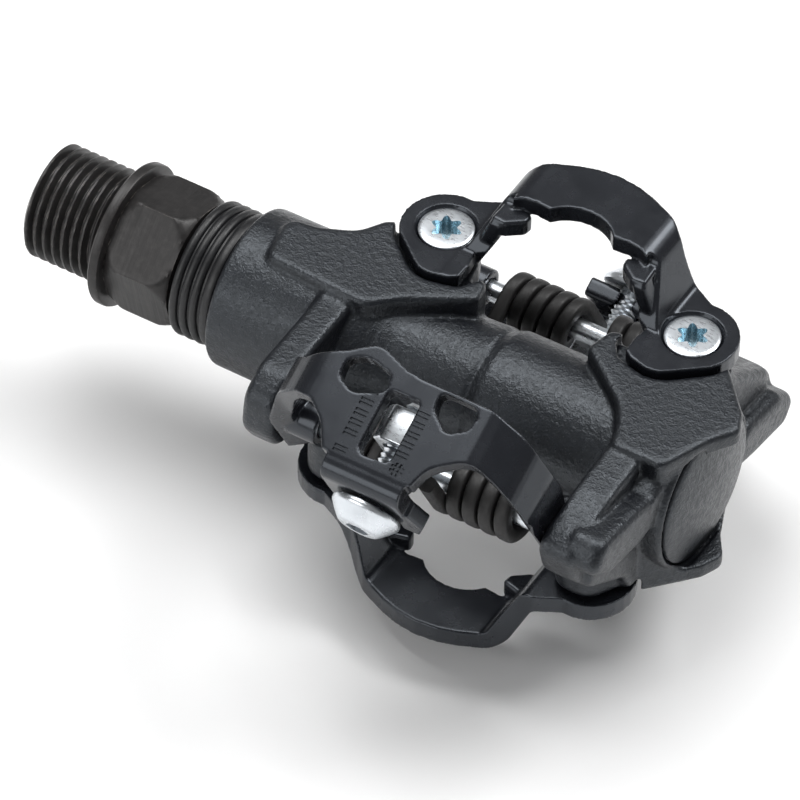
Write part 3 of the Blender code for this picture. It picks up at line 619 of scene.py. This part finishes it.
key = flat_bar(SOCKET_AF, 6, 0.0, 9.0)
rings = [(THREAD_END + SOCKET_DEPTH, 1.0), (THREAD_END + SOCKET_DEPTH, key), (THREAD_END + 0.5, key),
         (THREAD_END + 0.1, 4.9), (THREAD_END, 5.1), (THREAD_END, 5.85), (THREAD_END + 0.12, 6.15)]
count = 120
for k in range(count + 1):
    station = THREAD_END + 0.3 + (COLLAR_FACE - 0.9 - THREAD_END - 0.3) * k / count
    rings.append((station, thread_ring(station)))
rings += [(COLLAR_FACE - 0.4, 6.2), (COLLAR_FACE + 0.2, 6.3), (COLLAR_FACE + 0.3, 6.6), (COLLAR_FACE + 0.3, 7.35),
          (COLLAR_FACE, 7.5), (COLLAR_FACE, COLLAR_R - 0.35),
          (COLLAR_FACE + 0.08, COLLAR_R - 0.12), (COLLAR_FACE + 0.25, COLLAR_R),
          (COLLAR_END - 0.3, COLLAR_R), (COLLAR_END - 0.1, COLLAR_R - 0.1), (COLLAR_END, COLLAR_R - 0.35),
          (COLLAR_END, 8.0)]
for station, limit in ((COLLAR_END + 0.05, 7.75), (COLLAR_END + 0.5, 8.0), (COLLAR_END + 1.0, 8.3), (COLLAR_END + 1.5, 8.52),
                       (COLLAR_END + 2.0, 8.62), (COLLAR_END + 2.4, 8.66), (HEX_END - 2.4, 8.66), (HEX_END - 1.9, 8.58),
                       (HEX_END - 1.3, 8.38), (HEX_END - 0.7, 8.1), (HEX_END - 0.25, 7.8), (HEX_END, 7.55)):
    rings.append((station, flat_bar(HEX_AF, 6, HEX_PHASE, limit)))
rings += [(HEX_END, 7.0), (HEX_END + 0.3, JOURNAL_R), (JOURNAL_END, JOURNAL_R), (JOURNAL_END + 1, MID_R),
          (SHOULDER, MID_R), (SHOULDER, RACE_SEAT_R), (SPINDLE_END - 0.4, RACE_SEAT_R), (SPINDLE_END, RACE_SEAT_R - 0.4)]
spindle = piece(lathe("spindle_lathe", rings, 192), "axle_spindle", "steel", "axle", ("spindle",), angle=32)

# ---------------------------------------------------------------- seal between hexagon and hub
profile = [(-33.6, 6.9), (-41.75, 6.9), (-41.75, 7.9)]
for base in (-41.1, -39.75, -38.4):
    for k in range(9):
        a = math.pi * k / 8
        profile.append((base - 0.56 * math.cos(a), 8.1 + 0.5 * math.sin(a)))
profile += [(-37.6, 8.1), (-37.45, 8.45), (-37.0, 8.62), (-36.35, 8.62), (-36.1, 8.4), (-36.05, 7.55), (-33.6, 7.55)]
piece(turned("seal_lathe", profile), "axle_seal_boot", "rubber", "pedal", ("axle_seal",), angle=50)

# ---------------------------------------------------------------- body
tube = turned("hub_tube", [
    (TUBE_FACE, 0), (TUBE_FACE, TUBE_R - 0.35), (TUBE_FACE + 0.35, TUBE_R), (-21.5, TUBE_R + 0.1),
    (-19.8, 9.9), (-18.0, 9.2), (-15.5, 8.3), (-13.4, 7.85), (-11.0, WAIST_R), (-7.0, 7.95), (-2.6, 8.25),
    (-2.3, 8.0), (-1.9, 8.0), (-1.6, 8.3), (-1.2, 8.3), (-0.9, 8.55), (4.0, BARREL_R),
    (12.0, BARREL_R), (16.8, 8.9), (18.6, END_R), (END_FACE - 0.4, END_R), (END_FACE, END_R - 0.4),
    (END_FACE, 0)])



inner_top = plain("inner_platform", rounded([
    (-32.6, 3.6, 2), (-31.2, -3.6, 1.6), (-17.3, -4.3, 2.5), (-14.0, -1.2, 4), (-6.3, 3.4, 1.0),
    (-6.8, 6.4, 1.0), (-9.6, 7.4, 1.0), (-10.4, 11.0, 1), (-19.4, 11.0, 1), (-21.0, 9.9, 1),
    (-22.4, 9.0, 1.0), (-24.3, 6.0, 4), (-28.6, 4.0, 4)]), "XY", 1.0, PLATE_Z, bevel=0.7, segments=3)
outer_top = plain("outer_platform", rounded([
    (8.2, 3.6, 1.2), (9.2, 7.6, 1.2), (12.2, 8.2, 2.0), (13.4, 11.0, 1), (23.2, 10.4, 1.0),
    (24.6, 8.9, 1.5), (29.0, 4.0, 1.5), (30.2, 1.2, 1.4), (28.0, -2.0, 4), (25.3, -8.6, 1.6),
    (18.4, -8.7, 1.6), (17.4, -5.2, 3), (15.6, -2.2, 4)]), "XY", 1.0, PLATE_Z, bevel=0.7, segments=3)
# the outboard face under the platform is cut back to the end boss
overhang = plain("under_overhang", [(27.0, -12), (33, -12), (33, 12), (27.0, 12)], "XY", -12, 8.2)
outer_under = half_turn(outer_top, "outer_platform_under")
cut(outer_top, overhang)
cut(outer_under, half_turn(overhang, "over_overhang"))

# arms, seen from the side: a knuckle behind, a shelf under the bail's ear in front; half a turn maps
# each outline onto itself
def both_ways(half):
    return half + [(-y, -z, *r) for y, z, *r in half]


inner_arm = plain("inner_arm", rounded(both_ways([
    (9.0, 9.0, 1), (4.0, 9.9, 0), (-4.0, 9.9, 0), (-5.0, 9.5, 1), (-18.2, 9.5, 3.5), (-21.6, 7.4, 3),
    (-22.2, 2.6, 3.0), (-20.2, -0.6, 2.5), (-14.5, -2.4, 2)])), "YZ", -23.3, POCKET_LO,
    bevel=1.4, segments=4)
outer_arm = plain("outer_arm", rounded(both_ways([
    (9.0, 9.0, 1), (4.0, 9.9, 0), (-8.0, 10.0, 2), (-15.3, 9.6, 3), (-21.6, 8.6, 2.5), (-24.4, 7.2, 2.0),
    (-23.2, 3.0, 3.0), (-21.2, 0.4, 2.5), (-13.0, -5.4, 3)])), "YZ", POCKET_HI, 22.6, bevel=0.8, segments=4)
wedge = plain("outer_bumper", rounded([
    (-7.0, 8.4, 0), (-10.4, 6.9, 1.5), (-14.0, 7.8, 3), (-22.0, 9.2, 2.0), (-24.3, 6.0, 1.8), (-20.5, 2.9, 2),
    (-13.3, 1.6, 2), (-7.0, 2.2, 0)]), "YZ", 20.6, 25.7, bevel=1.3, segments=4)
low_body = plain("outer_low_body", rounded(both_ways([
    (8.0, 9.0, 0), (-8.0, 9.0, 0), (-10.4, 6.0, 1.5), (-20.4, 4.6, 1.5), (-21.4, 0.4, 2), (-12.7, -5.8, 3),
    (-11.4, -9.2, 1.5)])), "YZ", 20.6, 23.6, bevel=0.9, segments=3)
body = tube
operands = [inner_top, inner_arm, outer_arm, low_body, wedge]
for side, x in (("outer", BAIL_X + SCREW_DX), ("inner", BAIL_X - SCREW_DX)):
    reach = 1 if side == "outer" else -1
    operands.append(plain(side + "_boss", rounded([
        (x - 4.6, 2.0, 1), (x + 4.6, 2.0, 1), (x + 4.6 + 0.3 * reach, 11.5, 4), (x + 2.4, 15.9, 3),
        (x - 2.4, 15.9, 3), (x - 4.6 + 0.3 * reach, 11.5, 4)]), "XY", 2.6, RECESS_Z + 0.02, bevel=0.7, segments=3))
join(body, outer_top, outer_under)
for operand in operands:
    join(body, operand, half_turn(operand, operand.name + "_under"))

# recesses for the bail's ears, screw holes, pin holes, bearing bores
def ear_outline(grow):
    """Half outline of an ear about its screw: a round head and a foot towards the hub."""
    r = 5.6 + grow
    pts = [(13.05 - grow, 18.4 + grow)]
    for k in range(11):
        a = math.radians(96 - k * 13.5)
        pts.append((SCREW_DX + r * math.cos(a), SCREW_Y + r * math.sin(a)))
    return pts


def ear_full(grow, inner):
    return ear_outline(grow) + [
        (17.4 + grow * 0.7, 4.7 - grow), (16.3, 3.9 - grow), (14.8, 3.65 - grow), (12.3, 4.2 - grow),
        (11.3 - grow, 4.7 - grow), (inner, 6.2), (inner, 18.4 + grow)]


for side, sign in (("right", 1), ("left", -1)):
    recess = plain("ear_recess_" + side, [
        (BAIL_X + sign * d, y) for d, y in ear_full(0.55, 9.3)][::sign], "XY", RECESS_Z, 14)
    hole = rod("screw_hole_" + side, 2.15, 1.0, 10, (BAIL_X + sign * SCREW_DX, SCREW_Y, 0), (0, 0, 1))
    cut(body, recess, half_turn(recess, recess.name + "_under"),
        hole, half_turn(hole, hole.name + "_under"))
pin_hole = rod("pin_hole", PIN_R + GAP, -26, 21.8, (0, PIN_Y, PIN_Z), (1, 0, 0))
cut(body, pin_hole, half_turn(pin_hole, "pin_hole_under"))
bore = turned("body_bore", [(TUBE_FACE - 1, 0), (TUBE_FACE - 1, 7.9), (-21.0, 7.9), (-20.4, 6.2),
                            (17.8, 6.2), (17.8, 8.9), (26.0, 8.9), (26.0, 9.7), (END_FACE + 1, 9.7),
                            (END_FACE + 1, 0)])
cut(body, bore)
soften(body, 0.26, 5)
piece(body, "hub_body", "body", "pedal", ("pedal_body",))

# end cap
CAP_R = 9.4
dome = [(26.9 + 1.25 * (1 - (k / 14) ** 2), CAP_R * k / 14) for k in range(14)] + [(26.9, CAP_R - 0.25), (26.75, CAP_R - 0.05), (26.6, CAP_R)]
cap = dome + [(26.3, CAP_R), (26.3, 8.4), (23.9, 8.4), (23.9, 7.2), (26.4, 7.2), (26.5, 0)]
piece(turned("cap_lathe", cap, steps=144), "end_cap_cover", "body", "pedal", ("end_cap",), angle=30)

# ---------------------------------------------------------------- bail
# the sheet's section across the pedal, bent up out of the ears and over the arch
section = rounded([
    (0.0, ARCH_TOP, 0), (9.7, ARCH_TOP, 3.4), (13.0, EAR_TOP, 1.0), (23.0, EAR_TOP, 0), (23.0, EAR_TOP - SHEET, 0),
    (11.6, EAR_TOP - SHEET, 1.6), (8.0, ARCH_TOP - SHEET, 1.4), (0.0, ARCH_TOP - SHEET, 0)])
bail = plain("bail_section", mirrored(section, BAIL_X), "XZ", 2.0, 24.0)
half_plan = [(0.0, 22.8), (2.7, 22.5), (5.0, 21.8), (7.0, 20.9), (8.7, 20.2), (10.0, 19.3), (11.4, 18.6)]
half_plan += ear_outline(0) + [(17.4, 4.7), (16.3, 3.9), (14.8, 3.65), (12.3, 4.2), (11.3, 4.9), (11.2, 7.2),
                               (11.6, 9.2), (9.5, 9.9), (9.4, 13.0), (8.0, 13.7), (6.2, 13.95), (4.25, 13.75)]
reach = math.asin(4.25 / CLEAT_ARC_R)
for k in range(1, 5):
    a = reach * (1 - k / 4)
    half_plan.append((CLEAT_ARC_R * math.sin(a), 13.75 + (CLEAT_ARC_R * math.cos(a) - CLEAT_ARC_R * math.cos(reach))
                      * 2.1 / (CLEAT_ARC_R - CLEAT_ARC_R * math.cos(reach))))
boolean(bail, "INTERSECT", plain("bail_plan", mirrored(half_plan, BAIL_X), "XY", 5, 22, bevel=0.0))
for side, sign in (("right", 1), ("left", -1)):
    front = slab("bail_leg_front_" + side, [(1.0, 11.26), (9.2, 11.26), (14.2, 17.2), (14.2, 21.0), (1.0, 21.0)],
                 PLANES["YZ"], (CLEAT_X + BAIL_X + sign * 11.7, 0, 0), -2.7, 2.7)
    cut(bail, front)
    tab = plain("bail_tab_" + side, [(BAIL_X + sign * d, y) for d, y in (
        (10.5, 10.6), (10.3, 14.5), (6.3, 13.4), (6.5, 12.0), (8.6, 10.4))], "XY", 14.3, 16.7, bevel=0.3)
    gusset = plain("bail_gusset_" + side, [(BAIL_X + sign * d, z) for d, z in (
        (8.7, 16.2), (10.4, 16.3), (12.5, 10.6), (11.4, 9.6), (9.3, 13.6))], "XZ", 10.2, 12.5, bevel=0.3)
    join(bail, tab, gusset)
    cut(bail, turned("ear_bore_" + side, [(6, 0), (6, 2.3), (9.3, 2.3), (11.0, 3.75), (14, 3.75), (14, 0)],
                     (BAIL_X + sign * SCREW_DX, SCREW_Y, 0), (0, 0, 1), steps=72))
soften(bail, 0.16, 4)
top_bail = piece(bail, "bail_plate_top", "gloss", "pedal", ("front_bail_top",))
twin_piece(top_bail, "bail_plate_bottom", "pedal", ("front_bail_bottom",))

# bail screws: countersunk heads with a six-lobed recess
def lobed(r0, swing, count=96):
    return [((r0 + swing * math.cos(6 * a)) * math.cos(a), (r0 + swing * math.cos(6 * a)) * math.sin(a))
            for a in [2 * math.pi * k / count for k in range(count)]]


for side, sign in (("outer", 1), ("inner", -1)):
    centre = (BAIL_X + sign * SCREW_DX, SCREW_Y, 0)
    raw = turned("screw_lathe_" + side, [
        (3.0, 0), (3.0, 1.4), (3.4, 1.8), (8.7, 1.8), (10.5, 3.25), (10.62, 3.36), (10.8, 3.4), (10.95, 3.36),
        (11.06, 3.2), (11.1, 2.9), (11.12, 2.0), (11.12, 0)], centre, (0, 0, 1), steps=96)
    cut(raw, slab("lobed_recess_" + side, lobed(1.60, 0.36), PLANES["XY"], (CLEAT_X + centre[0], SCREW_Y, 0), 9.2, 13))
    screw = piece(raw, "bail_screw_%s_a" % side, "zinc", "pedal", ("bail_screw_%s_top" % side,), angle=30)
    screw.data.materials.append(FINISH["blue_zinc"])
    for face in screw.data.polygons:
        radial = math.hypot(face.center.x - (CLEAT_X + centre[0]) * MM, face.center.y - SCREW_Y * MM)
        if radial < 2.1 * MM and face.center.z > 9.0 * MM and face.center.z < 11.1 * MM:
            face.material_index = 1
    twin_piece(screw, "bail_screw_%s_b" % side, "pedal", ("bail_screw_%s_bottom" % side,))

# ---------------------------------------------------------------- sprung jaw
PIN = Vector((CLEAT_X, PIN_Y, PIN_Z))
PIN_V, PIN_N = (PIN - LIP).dot(SLOPE), (PIN - LIP).dot(RISE)
LEFT, RIGHT = POCKET_LO + GAP + 0.1, POCKET_HI - GAP - 0.1      # outer faces of the jaw's ears
EAR_T = 2.3
band = rounded([
    (LEFT, -22.0, 0), (LEFT, -11.8, 6), (-15.9, -3.6, 7), (-12.3, 0.0, 5), (10.6, 0.0, 9), (15.3, -2.4, 5),
    (RIGHT, -7.2, 4), (RIGHT, -22.0, 0), (RIGHT - EAR_T, -22.0, 0), (RIGHT - EAR_T, -8.0, 2.5),
    (13.6, -4.2, 4), (9.9, -EAR_T, 7), (-11.3, -EAR_T, 3.5), (-14.0, -4.9, 5), (LEFT + EAR_T, -12.4, 4.5),
    (LEFT + EAR_T, -22.0, 0)])
jaw = jaw_slab("jaw_band", band, JAW_FACE, -2.2, 12.0)
plan = jaw_slab("jaw_plan", rounded([
    (-21, 2.6, 0), (-14.0, 2.6, 2), (-9.4, 0.4, 1.6), (-6.0, -1.9, 2.6), (-1.6, -0.3, 3), (0.8, -0.1, 3),
    (9.6, -0.1, 5), (14.0, 0.9, 4), (17.2, 2.4, 2), (20.0, 3.4, 0), (20.0, 10.9, 0), (16.8, 8.6, 3),
    (13.4, 7.3, 3), (10.2, 6.4, 5), (6.0, 9.3, 4), (4.9, 13.4, 0.5), (4.7, 15.0, 0), (-5.7, 15.0, 0),
    (-5.9, 13.0, 1.5), (-8.2, 9.1, 3), (-10.6, 7.2, 1.5), (-13.0, 7.0, 2), (-16.0, 7.6, 3), (-18.0, 8.9, 2),
    (-21, 10.9, 0)]), JAW_TOP, -23, 1)
boolean(jaw, "INTERSECT", plan)
ear_side = jaw_slab("jaw_ear_side", rounded([
    (-3.0, 1.0, 0), (-3.0, -5.2, 0), (1.4, -6.0, 2), (2.85, -13.0, 6), (4.0, -18.6, 3), (7.6, -21.9, 2),
    (10.4, -21.4, 1), (10.3, -15.5, 3), (8.6, -8.4, 3), (9.6, -5.6, 2), (15.0, -5.0, 0), (15.0, 1.0, 0)]),
    JAW_SIDE, -24, 24)
boolean(jaw, "INTERSECT", ear_side)
wall = jaw_slab("jaw_wall", rounded([
    (10.9, -0.05, 0), (14.7, -0.05, 3.0), (14.7, -8.4, 0.6), (12.3, -8.4, 0.6), (12.3, -EAR_T + 0.05, 0.8),
    (10.9, -EAR_T + 0.05, 0)], 5), JAW_SIDE, -5.65, 4.65)
hook = jaw_slab("jaw_hook", rounded([
    (2.9, -3.5, 0), (5.05, -4.3, 0.5), (6.3, -7.6, 0.6), (5.0, -11.0, 0.5), (2.9, -11.0, 0)]), JAW_FACE, 12.45, 14.5)
join(jaw, wall, hook, rod("jaw_pin_boss", 2.45, LEFT + 1.0, -13.6, (0, PIN_Y, PIN_Z), (1, 0, 0), STEPS))
for name, corners in (
        ("jaw_window_left", [(-8.9, 1.2, 1.2), (-6.6, 0.1, 1.6), (-3.0, 0.9, 1.2), (-2.8, 3.2, 1.2), (-6.4, 4.6, 1.4),
                             (-8.7, 3.6, 1.2)]),
        ("jaw_window_right", [(3.0, 0.3, 1.2), (8.7, 0.4, 1.5), (8.3, 3.3, 1.4), (6.0, 4.7, 1.2), (3.6, 2.8, 1.4)]),
        ("jaw_slot", [(-2.5, 2.5, 0.8), (1.7, 2.4, 0.8), (1.7, 10.6, 1.0), (-2.5, 10.8, 1.0)])):
    cut(jaw, jaw_slab(name, rounded(corners), JAW_TOP, -4.5, 1))
SCREW_X = -0.4
cut(jaw, rod("jaw_pin_hole", PIN_R + 0.12, -24, 24, (0, PIN_Y, PIN_Z), (1, 0, 0), 64),
    rod("jaw_screw_hole", 2.1, 11, 16, jaw_point(SCREW_X, 0, SCREW_N) - Vector((CLEAT_X, 0, 0)), SLOPE, 64))
soften(jaw, 0.15, 5)
# scale beside the slot: pairs of fine pressed bars, a minus and a plus
bars = []
for x, stations in ((-4.2, (3.5, 5.0, 6.4, 7.7, 9.0)), (2.6, (3.8, 5.1, 6.4, 7.7, 9.0))):
    for v in stations:
        for shift in (-0.27, 0.27):
            bars.append((x - 0.85, x + 0.85, v + shift - 0.17, v + shift + 0.17, -0.22))
for shift in (-0.27, 0.27):
    bars.append((-5.25, -3.55, 11.2 + shift - 0.17, 11.2 + shift + 0.17, -0.22))
    bars.append((2.05, 3.75, 10.75 + shift - 0.16, 10.75 + shift + 0.16, -0.22))
    bars.append((2.9 + shift - 0.16, 2.9 + shift + 0.16, 9.95, 11.55, -0.26))
for name, chosen in (("pressed_bars", [b for b in bars if b[4] == -0.22]),
                     ("pressed_plus", [b for b in bars if b[4] != -0.22])):
    bm = bmesh.new()
    for x0, x1, v0, v1, depth in chosen:
        corners = [bm.verts.new(jaw_point(x, v, n) * MM) for x in (x0, x1) for v in (v0, v1) for n in (depth, 1.0)]
        for face in ((0, 1, 3, 2), (4, 6, 7, 5), (0, 4, 5, 1), (2, 3, 7, 6), (0, 2, 6, 4), (1, 5, 7, 3)):
            bm.faces.new([corners[k] for k in face])
    bmesh.ops.recalc_face_normals(bm, faces=bm.faces)
    mesh = bpy.data.meshes.new(name)
    bm.to_mesh(mesh)
    bm.free()
    press = jaw.modifiers.new(name, "BOOLEAN")
    press.operation, press.solver, press.object = "DIFFERENCE", "MANIFOLD", add(name, mesh)
top_jaw = piece(jaw, "jaw_plate_top", "gloss", "jaw_top", ("rear_jaw_top",), angle=38)
twin_piece(top_jaw, "jaw_plate_bottom", "jaw_bottom", ("rear_jaw_bottom",))

# pivot pins
pin = piece(turned("pin_lathe", [(-22.0, 0), (-22.0, PIN_R - 0.3), (-21.9, PIN_R - 0.1), (-21.7, PIN_R), (21.0, PIN_R),
                                 (21.2, PIN_R - 0.1), (21.3, PIN_R - 0.3), (21.3, 0)], (0, PIN_Y, PIN_Z), steps=64),
            "jaw_pin_top", "zinc", "pedal", ("pivot_pin_top",), angle=40)
twin_piece(pin, "jaw_pin_bottom", "pedal", ("pivot_pin_bottom",))

# tension screw: low domed head, threaded shank, hexagonal key
SCREW_AT = jaw_point(SCREW_X, 0, SCREW_N)
shank = [(1.6, 0), (1.6, 1.2)]
for k in range(18):
    s = 1.9 + k * 0.7
    shank += [(s, 1.42), (s + 0.35, 1.72)]
head = [(14.9, 1.6), (14.9, 3.7), (14.95, 4.05), (15.1, 4.25), (15.4, 4.32), (15.65, 4.3), (15.85, 4.2), (16.0, 4.05),
        (16.6, 3.55), (17.2, 2.95), (17.4, 2.75), (17.55, 2.55), (17.65, 2.3), (17.7, 1.9), (17.7, 0)]
raw = turned("tension_lathe", shank + head, SCREW_AT - Vector((CLEAT_X, 0, 0)), SLOPE, steps=72)
cut(raw, slab("tension_key", [(1.5 * math.cos(k * math.pi / 3), 1.5 * math.sin(k * math.pi / 3)) for k in range(6)],
              JAW_FACE, SCREW_AT, 16.0, 20))
screw = piece(raw, "preload_screw_top", "zinc", "screw_top", ("tension_screw_top",), angle=32)
twin_piece(screw, "preload_screw_bottom", "screw_bottom", ("tension_screw_bottom",))
nut = jaw_slab("nut_raw", rounded([
    (SCREW_X - 3.0, -10.6, 0.8), (SCREW_X + 3.7, -10.6, 0.8), (SCREW_X + 3.7, -9.3, 0.6), (SCREW_X + 2.9, -8.6, 0.6),
    (SCREW_X + 2.9, -4.8, 0.6), (SCREW_X + 1.7, -3.0, 0.6), (SCREW_X - 1.7, -3.0, 0.6),
    (SCREW_X - 3.0, -4.8, 0.6)], 6), JAW_FACE, NUT_V - 2.2, NUT_V + 2.2, bevel=0.25, segments=3)
cut(nut, rod("nut_thread", 2.0, -1, 14, SCREW_AT - Vector((CLEAT_X, 0, 0)), SLOPE, 48))
nut_part = piece(nut, "preload_nut_top", "zinc", "nut_top", ("tension_nut_top",), angle=30)
twin_piece(nut_part, "preload_nut_bottom", "nut_bottom", ("tension_nut_bottom",))


def coil(name, start, pitch, lean, body, node):
    """A torsion spring of flattened wire about the pin, with a leg behind the nut and one towards the hub."""
    mean, half_r, half_x, corner = COIL_R - 0.95, 0.95, 0.44 * pitch, 0.35
    section = []
    for k in range(24):
        a = 2 * math.pi * k / 24
        c, s = math.cos(a), math.sin(a)
        section.append((math.copysign(abs(c) ** 0.55, c) * half_r, math.copysign(abs(s) ** 0.55, s) * half_x))
    sweep, count = -2 * math.pi * 4.25, 240
    stations = []
    for k in range(8):
        stations.append((Vector((start, 0, 0)) + SLOPE * mean + RISE * (7.2 - 0.9 * k), SLOPE, -RISE))
    for k in range(count + 1):
        a = sweep * k / count
        out = SLOPE * math.cos(a) + RISE * math.sin(a)
        stations.append((Vector((start + lean * pitch * 4.25 * k / count, 0, 0)) + out * mean, out,
                         SLOPE * math.sin(a) - RISE * math.cos(a)))
    last = stations[-1]
    for k in range(1, 7):
        stations.append((last[0] - SLOPE * 0.83 * k, last[1], last[2]))
    bm = bmesh.new()
    loops = []
    for at, out, ahead in stations:
        side = ahead.cross(out).normalized()
        loops.append([bm.verts.new((PIN + at + out * u + side * w) * MM) for u, w in section])
    for one, two in zip(loops, loops[1:]):
        for k in range(24):
            bm.faces.new((one[k], one[(k + 1) % 24], two[(k + 1) % 24], two[k]))
    bm.faces.new(loops[0])
    bm.faces.new(loops[-1])
    bmesh.ops.recalc_face_normals(bm, faces=bm.faces)
    mesh = bpy.data.meshes.new(name)
    bm.to_mesh(mesh)
    bm.free()
    return piece(add(name + "_raw", mesh), name, "spring", body, (node,), angle=50)


for side, start, pitch, lean in (("inner", -1.6, 2.0, -1), ("outer", 3.7, 2.14, 1)):
    one = coil("spring_%s_a" % side, start, pitch, lean, "jaw_top", "torsion_spring_%s_top" % side)
    twin_piece(one, "spring_%s_b" % side, "jaw_bottom", ("torsion_spring_%s_bottom" % side,))

# ---------------------------------------------------------------- the parts inside keep their solids
for name, finish in (("inner_bush", "bronze"), ("bearing_inner_race", "bearing"), ("bearing_outer_race", "bearing"),
                     ("ball_cage", "bearing"), ("lock_washer", "bearing"), ("lock_nut", "bearing")):
    node = frame["nodes"][name]
    node.data.materials.clear()
    node.data.materials.append(FINISH[finish])

for helper in list(tools.objects):
    bpy.data.objects.remove(helper, do_unlink=True)

# ---------------------------------------------------------------- floor, light, camera
world = bpy.data.worlds.new("studio")
bpy.context.scene.world = world
world.use_nodes = True
world.node_tree.nodes["Background"].inputs["Color"].default_value = (1, 1, 1, 1)
world.node_tree.nodes["Background"].inputs["Strength"].default_value = 0.22
bpy.context.scene.view_settings.view_transform = "Standard"

floor_mesh = bpy.data.meshes.new("floor")
floor_mesh.from_pydata([(-3, -3, 0), (3, -3, 0), (3, 3, 0), (-3, 3, 0)], [], [(0, 1, 2, 3)])
floor = bpy.data.objects.new("floor", floor_mesh)
bpy.context.scene.collection.objects.link(floor)
floor.location.z = CAD_BOX[0].z - 0.0004
pale = Nodes("pale_floor")
floor_mesh.materials.append(pale.set(Base_Color=rgb(0.93, 0.93, 0.93), Roughness=0.9, Specular_IOR_Level=0.1))


def softbox(name, place, aim, width, height, power):
    light = bpy.data.lights.new(name, "AREA")
    light.shape = "RECTANGLE"
    light.size, light.size_y, light.energy = width, height, power
    obj = bpy.data.objects.new(name, light)
    bpy.context.scene.collection.objects.link(obj)
    obj.location = place
    obj.rotation_euler = (Vector(aim) - Vector(place)).to_track_quat("-Z", "Y").to_euler()
    return obj


softbox("key", (0.35, 0.45, 0.75), (0, 0, 0), 0.5, 0.4, 5.4)
softbox("top", (-0.25, 0.1, 0.8), (0, 0, 0), 0.6, 0.6, 5.5)
softbox("fill", (-0.3, -0.7, 0.35), (0, 0, 0), 0.6, 0.5, 2.4)

BACK, RIGHT_AXIS, UP = Vector((0.34749, -0.60201, 0.71892)), Vector((0.85647, 0.51588, 0.01801)), Vector((-0.38171, 0.60947, 0.69486))
camera = bpy.data.objects.new("camera", bpy.data.cameras.new("camera"))
bpy.context.scene.collection.objects.link(camera)
camera.matrix_world = Matrix.Translation(
    (BACK * 1108.0 + RIGHT_AXIS * -12.57 + UP * 0.10 + Vector((CLEAT_X, 0, 0))) * MM) @ Matrix(
    (RIGHT_AXIS, UP, BACK)).transposed().to_4x4()
camera.data.sensor_width = 36
camera.data.lens = 425.8
camera.data.clip_start, camera.data.clip_end = 0.05, 20
bpy.context.scene.camera = camera
